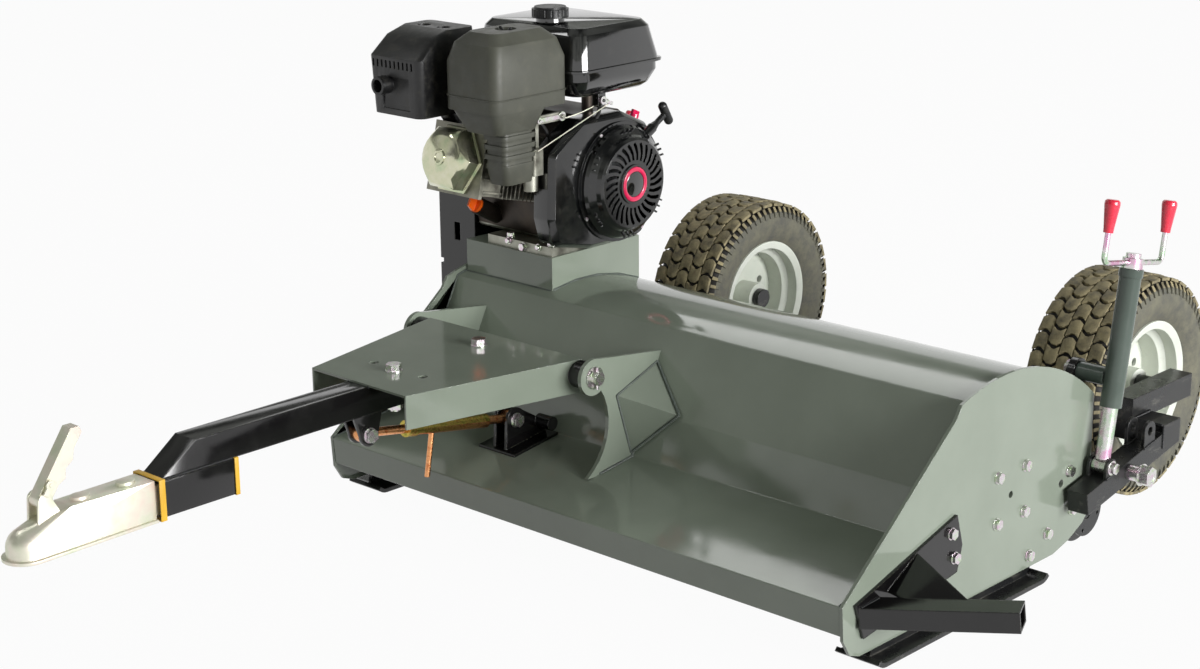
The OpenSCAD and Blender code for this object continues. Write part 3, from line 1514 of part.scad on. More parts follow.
module stop_switch()
    at_engine() color("#e01f4a") translate([-368, switch_at[0], switch_at[1]])
        rotate([-atan2(shroud_normal[0], shroud_normal[1]), 0, 0]) {
            cylinder(r = 9, h = 8);
            translate([-3, -9, 8]) cube([6, 18, 8]);
        }

filler_rise = 62;
filler_len = 62;

module oil_dipstick()
    at_engine() color("#f07018") translate([-545, 396, 486]) rotate([filler_rise, 0, 0])
        translate([0, 0, filler_len + move_gap]) {
            cylinder(r = 15, h = 6);
            hull() {
                translate([-3, -14, 6]) cube([6, 28, 4]);
                translate([-2, -9, 20]) cube([4, 18, 3]);
            }
        }

valve_at = [472, 726];
module fuel_valve()
    at_engine() color("#b8bcae") along_x(-336 + move_gap, -331) translate(valve_at) {
        difference() {
            union() {
                circle(r = 8);
                rotate(-20) translate([0, -3]) square([26, 6]);
            }
            circle(r = 3 + run_fit);
        }
    }

throttle_at = [392, 704];
throttle_len = 60;
module throttle_lever()
    at_engine() color("#8a8d86") along_x(-366 + move_gap, -362) translate(throttle_at)
        difference() {
            union() {
                circle(r = 9);
                translate([-throttle_len, -4]) square([throttle_len, 8]);
                translate([-throttle_len, 0]) circle(r = 6);
            }
            circle(r = 4 + run_fit);
            translate([-throttle_len, 0]) circle(r = 2);
        }

choke_at = [-388, 321];
module choke_lever()
    at_engine() color("#b8bcae") translate([choke_at[0], choke_at[1], 654 + move_gap]) {
        difference() {
            union() {
                cylinder(r = 6, h = 3);
                translate([-26, -3, 0]) cube([26, 6, 3]);
                translate([-26, 0, 0]) cylinder(r = 4.5, h = 3);
            }
            translate([0, 0, -1]) cylinder(r = 2.5 + run_fit, h = 5);
        }
    }

hood();
side_plate_near();
side_plate_far();
skids();
hitch_ears();
apron_bracket();
side_stub();
engine_mount();
belt_guard();
rotor_bearings();
deck_bolts();
trunnion_lugs();
crankcase();
cylinder_head();
valve_cover();
fan_shroud();
recoil_cover();
fuel_tank();
air_cleaner();
muffler();
carburettor();
plug_lead();
engine_bolts();
drive_belts();
rotor_tube();
flails();
driven_pulley();
crankshaft();
rear_roller();
arm_near();
arm_far();
tyre_near();
tyre_far();
rim_near();
rim_far();
jack_tube_near();
jack_tube_far();
jack_slide_near();
jack_slide_far();
jack_crank_near();
jack_crank_far();
jack_grips_near();
jack_grips_far();
hitch_frame();
drawbar();
frame_bolts();
coupler();
coupler_lever();
coupler_latch();
turnbuckle_front();
turnbuckle_body();
turnbuckle_rear();
recoil_handle();
fuel_cap();
stop_switch();
oil_dipstick();
fuel_valve();
throttle_lever();
choke_lever();
cleaner_nut();
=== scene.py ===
# Looks of the towed flail mower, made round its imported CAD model.
from math import cos, pi, radians, sin

import bmesh
import bpy
from mathutils import Matrix, Vector


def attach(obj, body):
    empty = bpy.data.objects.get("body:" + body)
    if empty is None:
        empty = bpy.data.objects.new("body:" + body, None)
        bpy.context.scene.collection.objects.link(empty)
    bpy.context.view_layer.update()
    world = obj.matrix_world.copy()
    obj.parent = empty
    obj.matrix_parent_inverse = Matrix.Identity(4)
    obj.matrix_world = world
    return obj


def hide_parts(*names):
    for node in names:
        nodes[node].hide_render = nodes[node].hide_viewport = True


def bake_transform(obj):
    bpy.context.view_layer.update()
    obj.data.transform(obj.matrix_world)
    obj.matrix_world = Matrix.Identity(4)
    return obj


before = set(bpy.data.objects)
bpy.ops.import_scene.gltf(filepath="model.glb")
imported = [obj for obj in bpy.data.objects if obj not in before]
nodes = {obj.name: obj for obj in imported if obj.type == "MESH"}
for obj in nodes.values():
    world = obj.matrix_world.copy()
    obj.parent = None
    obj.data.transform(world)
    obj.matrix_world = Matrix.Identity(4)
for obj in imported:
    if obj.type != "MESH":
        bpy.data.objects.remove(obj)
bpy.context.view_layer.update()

scene = bpy.context.scene
MM = 0.001
# The middle of the machine in part.scad's working frame, in mm
MIDDLE = Vector((66.2006, 169.0, 0.0))


def at(x, y, z):
    """A point of part.scad's working frame, in metres."""
    return (Vector((x, y, z)) - MIDDLE) * MM


# Camera, fitted to the photograph

AZIMUTH, ELEVATION, ROLL = radians(43.2335), radians(16.5476), radians(-0.5225)
LENS, SENSOR_W = 67.67, 36
CAMERA_PLACE = (2.4558, -2.7482, 1.5097)


def set_camera():
    """Turns by the azimuth and the elevation, then rolls round the line of sight."""
    data = bpy.data.cameras.new("camera")
    data.sensor_width = SENSOR_W
    data.lens = LENS
    data.clip_end = 200
    forward = Vector((-sin(AZIMUTH) * cos(ELEVATION), cos(AZIMUTH) * cos(ELEVATION), -sin(ELEVATION)))
    right = Vector((cos(AZIMUTH), sin(AZIMUTH), 0))
    up = right.cross(forward)
    across = right * cos(ROLL) + up * sin(ROLL)
    upward = up * cos(ROLL) - right * sin(ROLL)
    turn = Matrix((across, upward, -forward)).transposed().to_4x4()
    camera = bpy.data.objects.new("camera", data)
    camera.matrix_world = Matrix.Translation(CAMERA_PLACE) @ turn
    scene.collection.objects.link(camera)
    scene.camera = camera


set_camera()


# Materials

def linear(code, alpha=1.0):
    """An sRGB hex colour as linear numbers."""
    parts = [int(code[i:i + 2], 16) / 255 for i in (1, 3, 5)]
    return tuple(c / 12.92 if c <= 0.04045 else ((c + 0.055) / 1.055) ** 2.4 for c in parts) + (alpha,)


def add(mat, kind, settings=None, sockets=None):
    """Adds a node; a socket's value is a number, a colour or a (node, output) link."""
    node = mat.node_tree.nodes.new("ShaderNode" + kind)
    for key, value in (settings or {}).items():
        setattr(node, key, value)
    for key, value in (sockets or {}).items():
        if isinstance(value, tuple) and isinstance(value[0], bpy.types.Node):
            mat.node_tree.links.new(value[0].outputs[value[1]], node.inputs[key])
        else:
            node.inputs[key].default_value = value
    return node


def new_material(name, **values):
    """A material with its shader, whose plain values are set on the shader's own sockets."""
    mat = bpy.data.materials.new(name)
    mat.use_nodes = True
    mat.node_tree.nodes.clear()
    shader = add(mat, "BsdfPrincipled")
    for key, value in values.items():
        shader.inputs[key.replace("_", " ")].default_value = value
    add(mat, "OutputMaterial", sockets={"Surface": (shader, "BSDF")})
    return mat, shader, add(mat, "TexCoord")


def link(mat, source, output, shader, socket):
    """Leads a node's output to a socket of the shader."""
    mat.node_tree.links.new(source.outputs[output], shader.inputs[socket])


def grain(mat, coords, size_mm, detail, stretch=None, rough=0.5):
    """Noise whose features are size_mm across."""
    vector = (coords, "Object")
    if stretch:
        vector = (add(mat, "Mapping", {}, {"Vector": vector, "Scale": stretch}), "Vector")
    return add(mat, "TexNoise", {}, {"Vector": vector, "Scale": 1000 / size_mm, "Detail": detail,
                                     "Roughness": rough})


def steps(mat, noise, stops):
    """A ramp over a noise: stops are (place, sRGB hex)."""
    ramp = add(mat, "ValToRGB", {}, {"Fac": (noise, "Fac")})
    while len(ramp.color_ramp.elements) < len(stops):
        ramp.color_ramp.elements.new(0.5)
    for element, (place, code) in zip(ramp.color_ramp.elements, stops):
        element.position = place
        element.color = linear(code)
    return ramp


def mixed(mat, factor, first, second):
    """Mixes two colours by a factor; each is a (node, output) link or a colour."""
    node = add(mat, "Mix", {"data_type": "RGBA"})
    for index, value in ((0, factor), (6, first), (7, second)):
        if isinstance(value[0], bpy.types.Node):
            mat.node_tree.links.new(value[0].outputs[value[1]], node.inputs[index])
        else:
            node.inputs[index].default_value = value
    return node, 2


def mask(mat, noise, low, high, top=1.0):
    """A mask that rises where the noise goes from low to high."""
    return add(mat, "MapRange", {}, {"Value": (noise, "Fac"), "From Min": low, "From Max": high,
                                     "To Max": top}), "Result"


def edge_wear_and_highlight(mat, radius_mm, low, high):
    """A mask that shows only at sharp edges, where the rounded normal leaves the flat one."""
    rounded = add(mat, "Bevel", {"samples": 4}, {"Radius": radius_mm * MM})
    flat = add(mat, "NewGeometry")
    dot = add(mat, "VectorMath", {"operation": "DOT_PRODUCT"},
              {0: (rounded, "Normal"), 1: (flat, "Normal")})
    return add(mat, "MapRange", {}, {"Value": (dot, "Value"), "From Min": high, "From Max": low}), "Result"


def bumped(mat, shader, noise, output, strength, depth_mm, edge_mm=1.2):
    """Bump from a noise, over edges that look rounded by edge_mm."""
    rounded = add(mat, "Bevel", {"samples": 4}, {"Radius": edge_mm * MM})
    bump = add(mat, "Bump", {}, {"Strength": strength, "Distance": depth_mm * MM,
                                 "Height": (noise, output), "Normal": (rounded, "Normal")})
    link(mat, bump, "Normal", shader, "Normal")


def glossed(mat, shader, noise, low, high, rough):
    """Roughness that goes from rough[0] to rough[1] where the noise goes from low to high."""
    gloss = add(mat, "MapRange", {}, {"Value": (noise, "Fac"), "From Min": low, "From Max": high,
                                      "To Min": rough[0], "To Max": rough[1]})
    link(mat, gloss, "Result", shader, "Roughness")


def sprayed_paint(name, colour, shade, bare, dust, rough, scuffs=0.0, wear_and_highlight=0.5, film_amount=0.12,
                  shine=1.45, edge_mm=1.2):
    """Enamel sprayed on sheet steel: orange peel, cloudy gloss, settled dust, chipped edges lightened partly
    as a painted highlight.
    """
    mat, shader, coords = new_material(name, IOR=shine)
    clouds = grain(mat, coords, 140, 4)
    paint = steps(mat, clouds, [(0.35, shade), (0.62, colour)]), "Color"
    specks = grain(mat, coords, 2.2, 1)
    film = grain(mat, coords, 60, 6, rough=0.65)
    paint = mixed(mat, mask(mat, film, 0.5, 0.75, film_amount), paint, linear(dust))
    paint = mixed(mat, mask(mat, specks, 0.74, 0.78, 0.2), paint, linear(dust))
    if scuffs:
        scrapes = grain(mat, coords, 26, 8, (1.0, 0.25, 1.0), 0.75)
        paint = mixed(mat, mask(mat, scrapes, 0.56, 0.68, scuffs), paint, linear(bare))
    chips_and_glints = grain(mat, coords, 5, 3)
    # Edges go towards the bare colour: partly worn paint, partly a painted highlight along them
    edge = add(mat, "Math", {"operation": "MULTIPLY"},
               {0: edge_wear_and_highlight(mat, 1.3, 0.8, 0.97), 1: mask(mat, chips_and_glints, 0.45, 0.6, wear_and_highlight)}), "Value"
    paint = mixed(mat, edge, paint, linear(bare))
    link(mat, *paint, shader, "Base Color")
    glossed(mat, shader, film, 0.3, 0.7, rough)
    peel = grain(mat, coords, 3.5, 1)
    bumped(mat, shader, peel, "Fac", 0.1, 0.12, edge_mm)
    return mat


def plated_steel(name, tints, rough=(0.2, 0.34), size_mm=9, metallic=1.0, marked=0.25):
    """Steel with a chromated zinc film, whose thickness tints it in patches."""
    mat, shader, coords = new_material(name, Metallic=metallic)
    film = grain(mat, coords, size_mm, 3)
    marks = grain(mat, coords, 1.5, 3)
    colour = steps(mat, film, tints), "Color"
    colour = mixed(mat, mask(mat, marks, 0.6, 0.8, marked), colour, linear("#77786c"))
    link(mat, *colour, shader, "Base Color")
    glossed(mat, shader, marks, 0.3, 0.7, rough)
    bumped(mat, shader, marks, "Fac", 0.24 * marked, 0.1, 0.8)
    return mat


def cast_metal(name, colour, shade, stain, rough, metallic, grit_mm=1.2):
    """Sand or die cast metal: fine grit in the skin, oily darker places."""
    mat, shader, coords = new_material(name, Metallic=metallic)
    clouds = grain(mat, coords, 45, 5)
    grit = grain(mat, coords, grit_mm, 3)
    tone = steps(mat, clouds, [(0.3, stain), (0.48, shade), (0.7, colour)]), "Color"
    link(mat, *tone, shader, "Base Color")
    glossed(mat, shader, clouds, 0.3, 0.7, rough)
    bumped(mat, shader, grit, "Fac", 0.35, 0.25, 1.0)
    return mat


def moulded(name, colour, shade, rough, grit_mm, depth, coat=0.0, dust="#8a8473", dust_amount=0.15,
            shine=1.5):
    """Moulded plastic or gloss enamel: an even colour, the mould's fine texture, a little dust."""
    mat, shader, coords = new_material(name, IOR=shine, Coat_Weight=coat, Coat_Roughness=0.06)
    clouds = grain(mat, coords, 50, 4)
    grit = grain(mat, coords, grit_mm, 2)
    film = grain(mat, coords, 22, 7, rough=0.7)
    tone = steps(mat, clouds, [(0.3, shade), (0.65, colour)]), "Color"
    tone = mixed(mat, mask(mat, film, 0.52, 0.75, dust_amount), tone, linear(dust))
    link(mat, *tone, shader, "Base Color")
    glossed(mat, shader, film, 0.35, 0.7, rough)
    bumped(mat, shader, grit, "Fac", 0.2, depth, 1.0)
    return mat


def dusty_rubber(name, colour, dust, amount):
    """Vulcanised rubber with dry soil wiped over it."""
    mat, shader, coords = new_material(name, IOR=1.5)
    film = grain(mat, coords, 28, 7, rough=0.7)
    grit = grain(mat, coords, 1.6, 3)
    tone = mixed(mat, mask(mat, film, 0.32, 0.66, amount), linear(colour), linear(dust))
    tone = mixed(mat, mask(mat, grit, 0.6, 0.75, 0.4), tone, linear(dust))
    link(mat, *tone, shader, "Base Color")
    glossed(mat, shader, film, 0.3, 0.7, (0.55, 0.9))
    bumped(mat, shader, grit, "Fac", 0.3, 0.3, 0.8)
    return mat


# The enamels' lighter edges, strongest on the black ones, are partly a painted highlight as well as wear
deck_enamel = sprayed_paint("grey_enamel", "#868f82", "#80897c", "#b4b8ae", "#969c90", (0.06, 0.15),
                            film_amount=0.05, shine=1.6)
jack_enamel = sprayed_paint("dark_jack_enamel", "#525d56", "#4a554e", "#8f958c", "#80867d", (0.12, 0.24))
black_enamel = sprayed_paint("black_enamel", "#121112", "#0d0c0d", "#75755f", "#4a4a44", (0.07, 0.2),
                             wear_and_highlight=0.7, film_amount=0.05, shine=1.55, edge_mm=3.5)
scuffed_enamel = sprayed_paint("scuffed_black_enamel", "#1b1c1d", "#141516", "#75736a", "#5a574e",
                               (0.2, 0.4), scuffs=0.4, wear_and_highlight=0.9, film_amount=0.15, shine=1.5, edge_mm=3.0)
zinc = plated_steel("blue_zinc", [(0.32, "#c6d8b4"), (0.5, "#dedcdc"), (0.66, "#dcc6d4")])
rainbow_zinc = plated_steel("rainbow_zinc", [(0.34, "#b2d0ae"), (0.5, "#ded6da"), (0.64, "#dca6c6")],
                            size_mm=26)
bright_zinc = plated_steel("bright_zinc", [(0.3, "#d6dcc2"), (0.5, "#e8e4d4"), (0.72, "#e9d8cc")],
                           (0.3, 0.44), 34, 0.7, 0.12)
yellow_zinc = plated_steel("yellow_zinc", [(0.3, "#8f8a3e"), (0.5, "#b8a552"), (0.7, "#a87c42")])
copper_zinc = plated_steel("copper_zinc", [(0.3, "#b8683a"), (0.5, "#dca070"), (0.7, "#d08a52")])
cover_zinc = plated_steel("cover_zinc", [(0.3, "#b6c4a2"), (0.5, "#cfcfb2"), (0.7, "#d9d7c2")],
                          (0.1, 0.18), 30, 0.9, 0.06)
turned_steel = plated_steel("turned_steel", [(0.3, "#6c6e70"), (0.6, "#8c8e90")], (0.3, 0.5))
cast_iron = cast_metal("cast_iron", "#3c3e40", "#2c2e30", "#1d1d1e", (0.5, 0.75), 0.4)
engine_casting = cast_metal("engine_casting", "#4c443c", "#3a332d", "#29241f", (0.32, 0.5), 0.7)
head_casting = cast_metal("head_casting", "#a9a698", "#86857a", "#4b4640", (0.35, 0.55), 0.85)
pale_casting = cast_metal("pale_casting", "#b5b5aa", "#8f8f84", "#55524a", (0.3, 0.5), 0.9)
gloss_black = moulded("gloss_black_enamel", "#0b0c0d", "#08090a", (0.04, 0.14), 4, 0.05, 0.6,
                      dust_amount=0.04, shine=1.7)
shroud_black = moulded("shroud_enamel", "#0f1011", "#0a0b0c", (0.08, 0.22), 3, 0.08, 0.4,
                       dust_amount=0.05, shine=1.55)
olive_plastic = moulded("olive_nylon", "#4d4e45", "#43443c", (0.42, 0.62), 0.9, 0.12, dust_amount=0.12)
black_plastic = moulded("black_nylon", "#141516", "#0e0f10", (0.3, 0.5), 0.9, 0.1, dust_amount=0.1)
heat_black = moulded("heat_paint", "#1c1c1d", "#141415", (0.3, 0.55), 1.0, 0.12, dust_amount=0.16)
black_rubber = dusty_rubber("black_rubber", "#101011", "#3a3834", 0.25)
tread_rubber = dusty_rubber("tread_rubber", "#56503f", "#ada17c", 0.9)
# The grooves' floor is near black, far darker than the wall's rubber: painted shade between the blocks
groove_painted_shade_rubber = dusty_rubber("groove_painted_shade_rubber", "#12110f", "#2c2822", 0.4)
wall_rubber = dusty_rubber("wall_rubber", "#4a4a45", "#86836f", 0.6)
rim_enamel = sprayed_paint("white_rim_enamel", "#dfe3d9", "#ccd1c6", "#8d8f88", "#a9a594",
                           (0.3, 0.5), scuffs=0.15)
red_grip = moulded("red_vinyl", "#f0304c", "#e02440", (0.2, 0.35), 2, 0.05, 0.4, "#ff8f98", 0.1)
magenta_plastic = moulded("red_switch", "#e01a55", "#c8134a", (0.15, 0.3), 2, 0.04, 0.5, "#ff9ab0", 0.05)
orange_plastic = moulded("orange_nylon", "#ff6a12", "#ee5a08", (0.25, 0.4), 1.5, 0.05, 0.2, "#ffb080", 0.1)
rope_nylon = moulded("rope_nylon", "#cdc9bb", "#b4b0a2", (0.6, 0.8), 1.2, 0.15)
yellow_trim = moulded("yellow_trim", "#e8b838", "#d6a52c", (0.4, 0.6), 1.2, 0.08, dust_amount=0.15)
weld_metal = cast_metal("painted_weld", "#6c746d", "#59615b", "#3c423e", (0.3, 0.5), 0.15, 0.8)
black_weld = cast_metal("black_weld", "#232425", "#17181a", "#0e0e0f", (0.3, 0.5), 0.2, 0.8)

FINISH = {
    deck_enamel: ["hood", "side_plate_near", "side_plate_far", "hitch_ears", "engine_mount",
                  "hitch_frame"],
    jack_enamel: ["jack_tube_near", "jack_tube_far"],
    black_enamel: ["side_stub", "belt_guard", "apron_bracket", "drawbar", "rotor_tube",
                   "trunnion_lugs", "rear_roller"],
    scuffed_enamel: ["arm_near", "arm_far", "skids"],
    zinc: ["deck_bolts", "engine_bolts", "frame_bolts", "choke_lever", "throttle_lever",
           "fuel_valve"],
    rainbow_zinc: ["jack_slide_near", "jack_slide_far", "jack_crank_near", "jack_crank_far"],
    bright_zinc: ["coupler", "coupler_lever", "coupler_latch"],
    copper_zinc: ["turnbuckle_front", "turnbuckle_rear"],
    yellow_zinc: ["turnbuckle_body"],
    cover_zinc: ["valve_cover"],
    turned_steel: ["crankshaft", "flails"],
    cast_iron: ["rotor_bearings", "driven_pulley"],
    engine_casting: ["crankcase"],
    head_casting: ["cylinder_head"],
    pale_casting: ["carburettor"],
    gloss_black: ["fuel_tank"],
    shroud_black: ["fan_shroud", "recoil_cover"],
    olive_plastic: ["air_cleaner"],
    heat_black: ["muffler"],
    black_plastic: ["fuel_cap", "recoil_handle", "cleaner_nut"],
    black_rubber: ["plug_lead", "drive_belts"],
    tread_rubber: ["tyre_near", "tyre_far"],
    rim_enamel: ["rim_near", "rim_far"],
    red_grip: ["jack_grips_near", "jack_grips_far"],
    magenta_plastic: ["stop_switch"],
    orange_plastic: ["oil_dipstick"],
}
for finish, names in FINISH.items():
    for name in names:
        nodes[name].data.materials.clear()
        nodes[name].data.materials.append(finish)


# Modelling helpers

def nothing_selected():
    """Leaves edit mode and clears the selection, as each operator below expects."""
    if bpy.context.object and bpy.context.object.mode != "OBJECT":
        bpy.ops.object.mode_set(mode="OBJECT")
    bpy.ops.object.select_all(action="DESELECT")


def settle(piece, name, body, mat, smooth=35):
    """Puts a finished piece's place in its mesh, smooths it and lets it ride on its body.

    The body is None for a piece that rides on no body here.
    """
    nothing_selected()
    piece.name = piece.data.name = name
    piece.select_set(True)
    bpy.context.view_layer.objects.active = piece
    bpy.ops.object.transform_apply(location=True, rotation=True, scale=True)
    bpy.ops.object.shade_smooth_by_angle(angle=radians(smooth))
    piece.data.materials.clear()
    piece.data.materials.append(mat)
    if body:
        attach(piece, body)


def turned_to(way):
    """The turn that points +Z along a way."""
    return Vector(way).to_track_quat("Z", "Y").to_matrix().to_4x4()


def lathe(outline, steps_round, centre, axis):
    """Turns a closed outline of (along, radius) in mm round an axis through centre."""
    nothing_selected()
    bpy.ops.mesh.primitive_circle_add(vertices=len(outline), radius=1, location=(0, 0, 0))
    piece = bpy.context.object
    for vertex, (along, radius) in zip(piece.data.vertices, outline):
        vertex.co = Vector((radius * MM, 0, along * MM))
    bpy.ops.object.mode_set(mode="EDIT")
    bpy.ops.mesh.select_all(action="SELECT")
    bpy.ops.mesh.spin(steps=steps_round, angle=2 * pi, center=(0, 0, 0), axis=(0, 0, 1))
    bpy.ops.mesh.select_all(action="SELECT")
    bpy.ops.mesh.remove_doubles(threshold=0.00001)
    bpy.ops.mesh.normals_make_consistent(inside=False)
    bpy.ops.object.mode_set(mode="OBJECT")
    piece.data.transform(Matrix.Translation(centre) @ turned_to(axis))
    return piece


def copied(model, places):
    """One mesh that holds a copy of the model's mesh at each place."""
    whole = bmesh.new()
    for place in places:
        mesh = model.data.copy()
        mesh.transform(place)
        whole.from_mesh(mesh)
        bpy.data.meshes.remove(mesh)
    whole.to_mesh(model.data)
    whole.free()
    return model


def rod(name, points, radius_mm, mat, smooth_line=True):
    """A wire, hose or rod on the deck, through points of the working frame."""
    nothing_selected()
    curve = bpy.data.curves.new(name, "CURVE")
    curve.dimensions = "3D"
    curve.bevel_depth = radius_mm * MM
    curve.bevel_resolution = 3
    curve.resolution_u = 8 if smooth_line else 1
    curve.use_fill_caps = True
    spline = curve.splines.new("BEZIER" if smooth_line else "POLY")
    if smooth_line:
        spline.bezier_points.add(len(points) - 1)
        for knot, point in zip(spline.bezier_points, points):
            knot.co = at(*point)
            knot.handle_left_type = knot.handle_right_type = "AUTO"
    else:
        spline.points.add(len(points) - 1)
        for knot, point in zip(spline.points, points):
            knot.co = (*at(*point), 1)
    piece = bpy.data.objects.new(name, curve)
    scene.collection.objects.link(piece)
    piece.select_set(True)
    bpy.context.view_layer.objects.active = piece
    bpy.ops.object.convert(target="MESH")
    settle(bpy.context.object, name, "deck", mat)


def weld(name, lines, radius_mm, mat, body="deck"):
    """A bead of overlapping ripples along lines of the working frame."""
    nothing_selected()
    bpy.ops.mesh.primitive_uv_sphere_add(segments=8, ring_count=6, radius=radius_mm * MM)
    bead = bpy.context.object
    bpy.ops.object.mode_set(mode="EDIT")
    bpy.ops.transform.resize(value=(1.0, 1.0, 0.55), center_override=(0, 0, 0))
    bpy.ops.object.mode_set(mode="OBJECT")
    places = []
    for line in lines:
        line = [at(*point) for point in line]
        for start, end in zip(line, line[1:]):
            way = end - start
            count = max(1, round(way.length / (radius_mm * MM * 0.7)))
            turn = turned_to(way)
            for i in range(count):
                wobble = 1 + 0.12 * sin(len(places) * 2.4)
                places.append(Matrix.Translation(start + way * (i / count)) @ turn @ Matrix.Scale(wobble, 4))
    settle(copied(bead, places), name, body, mat)


def face_finish(name, mat, inside):
    """Gives the faces of a node whose middle (working frame, mm) is inside another material."""
    mesh = nodes[name].data
    mesh.materials.append(mat)
    for face in mesh.polygons:
        middle = nodes[name].matrix_world @ face.center / MM + MIDDLE
        if inside(middle.x, middle.y, middle.z):
            face.material_index = len(mesh.materials) - 1


def softened(name, body, edge_mm, angle=28):
    """A copy of a node that takes its place, its facets shaded as one surface and its edges rounded."""
    nothing_selected()
    piece = bpy.data.objects.new(name + "_soft", nodes[name].data.copy())
    piece.matrix_world = nodes[name].matrix_world.copy()
    scene.collection.objects.link(piece)
    piece.select_set(True)
    bpy.context.view_layer.objects.active = piece
    if piece.data.has_custom_normals:
        bpy.ops.mesh.customdata_custom_splitnormals_clear()
    bpy.ops.object.mode_set(mode="EDIT")
    bpy.ops.mesh.select_all(action="SELECT")
    bpy.ops.mesh.remove_doubles(threshold=0.02 * MM)
    bpy.ops.mesh.dissolve_limited(angle_limit=radians(0.8), delimit={"MATERIAL"})
    bpy.ops.object.mode_set(mode="OBJECT")
    edge = piece.modifiers.new("edge", "BEVEL")
    edge.width = edge_mm * MM
    edge.segments = 3
    edge.limit_method = "ANGLE"
    edge.angle_limit = radians(angle)
    edge.use_clamp_overlap = True
    bpy.ops.object.modifier_apply(modifier="edge")
    materials = list(piece.data.materials)
    settle(piece, name + "_soft", body, materials[0], angle)
    for mat in materials[1:]:
        piece.data.materials.append(mat)
    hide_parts(name)


# Tyres with a turf tread

AXLE_Y, AXLE_Z, TRACK = 1035, 210, 458
BLOCKS, ROWS = 36, (-58, -29, 0, 29, 58)
TREAD_BASE, LUG_BASE = 201, 190
# In metres from the axle: the wall is within the first reach, and the grooves' floor is between it and the
# second, as far across as the third
WALL_REACH, GROOVE_REACH, GROOVE_ACROSS = 0.189, 0.2035, 0.073


def tyre_carcass():
    """The tyre without its tread, as a closed outline of (across, radius) turned round the axle."""
    wall = [(58, 113), (64, 124), (70, 132), (76, 146), (79.4, 158), (80, 168), (79, 178),
            (76, 187), (70, 194), (60, 199.5), (48, 202), (24, 202.6), (0, 202.8)]
    outside = wall + [(-a, r) for a, r in reversed(wall[:-1])]
    inside = [(-46, 112), (-50, 125), (-64, 150), (-70, 168), (-62, 185), (-40, 191), (0, 192),
              (40, 191), (62, 185), (70, 168), (64, 150), (50, 125), (46, 112)]
    return lathe(outside + inside, 96, (0, 0, 0), (0, 0, 1))


def tread_block(outline, height, base):
    """One block of the tread, drawn flat as (across, round) in mm and pushed outwards."""
    nothing_selected()
    bpy.ops.mesh.primitive_circle_add(vertices=len(outline), radius=1, fill_type="NGON", location=(0, 0, 0))
    block = bpy.context.object
    for vertex, (across, along) in zip(block.data.vertices, outline):
        vertex.co = Vector((base * MM, along * MM, across * MM))
    bpy.ops.object.mode_set(mode="EDIT")
    bpy.ops.mesh.select_all(action="SELECT")
    bpy.ops.mesh.extrude_region_move(TRANSFORM_OT_translate={"value": (height * MM, 0, 0)})
    bpy.ops.mesh.inset(thickness=0.9 * MM, depth=0)
    bpy.ops.transform.translate(value=(0.5 * MM, 0, 0))
    bpy.ops.mesh.select_all(action="SELECT")
    bpy.ops.mesh.normals_make_consistent(inside=False)
    bpy.ops.object.mode_set(mode="OBJECT")
    return block


def joined(parts):
    """All parts in one mesh."""
    nothing_selected()
    for part in parts:
        part.select_set(True)
    bpy.context.view_layer.objects.active = parts[0]
    bpy.ops.object.join()
    return bpy.context.object


def tyre(side, node, body):
    """A tyre that takes a node's place: rows of zigzag blocks, and lugs on both shoulders."""
    half, bend = 13.4, 5.5
    zigzag = [(-half, -16), (-4, -15 + bend), (4, -15 + bend), (half, -16), (half, 12.5), (4, 13.5 + bend),
              (-4, 13.5 + bend), (-half, 12.5)]
    parts = [tyre_carcass()]
    middle = at(side * TRACK, AXLE_Y, AXLE_Z)
    turn = 2 * pi / BLOCKS
    for row, x in enumerate(ROWS):
        # The outer rows are lower, because the carcass falls away at the shoulders
        height = 7.4 if abs(x) < 40 else 5.4
        flip = 1 if row % 2 else -1
        block = tread_block([(a + x, b * flip) for a, b in zigzag], height, TREAD_BASE)
        places = [Matrix.Rotation(turn * (i + row % 2 / 2), 4, "Z") for i in range(BLOCKS)]
        parts.append(copied(block, places))
    for end in (-1, 1):
        outline = [(72.5, 200.5), (79.5, 190), (81.5, 180), (78, 176), (72, 190)]
        lug = tread_block([(end * a, r - LUG_BASE) for a, r in outline], 6.5, 0)
        lug.data.transform(Matrix.Rotation(pi / 2, 4, "Z"))
        lug.data.transform(Matrix.Translation((LUG_BASE * MM, 0, 0)) @ Matrix.Diagonal((-1, 1, 1, 1)))
        lug.data.transform(Matrix.Translation((0, -3.2 * MM, 0)))
        lug.data.flip_normals()
        parts.append(copied(lug, [Matrix.Rotation(turn / 2 * i, 4, "Z") for i in range(2 * BLOCKS)]))
    whole = joined(parts)
    whole.data.transform(Matrix.Translation(middle) @ Matrix.Rotation(pi / 2, 4, "Y"))
    settle(whole, node + "_tread", body, tread_rubber, 30)
    whole.data.materials.append(wall_rubber)
    whole.data.materials.append(groove_painted_shade_rubber)
    for face in whole.data.polygons:
        reach = face.center - middle
        across, reach.x = abs(reach.x), 0
        if reach.length < WALL_REACH:
            face.material_index = 1
        # The grooves' floor gets the near-black rubber, as painted shade
        elif reach.length < GROOVE_REACH and across < GROOVE_ACROSS:
            face.material_index = 2
    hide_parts(node)


tyre(1, "tyre_near", "wheel_near")
tyre(-1, "tyre_far", "wheel_far")


# Welds

# Places of part.scad: the middle of the hitch and the ears' distance from it, the arms' outer faces and the
# jacks' middles, and the circle of the hood's top
HITCH_X, EAR_HALF = -275, 224
ARM_OUT, JACK_X = 651, 631
ARCH_Y, ARCH_Z, HOOD_R = 440, -22, 405
# Just inside the side plates, where the hood meets them
SEAM_X = 595


def on_hood(y, lift):
    """Height of the hood's top at y, raised by lift."""
    return ARCH_Z + lift + (HOOD_R ** 2 - (y - ARCH_Y) ** 2) ** 0.5


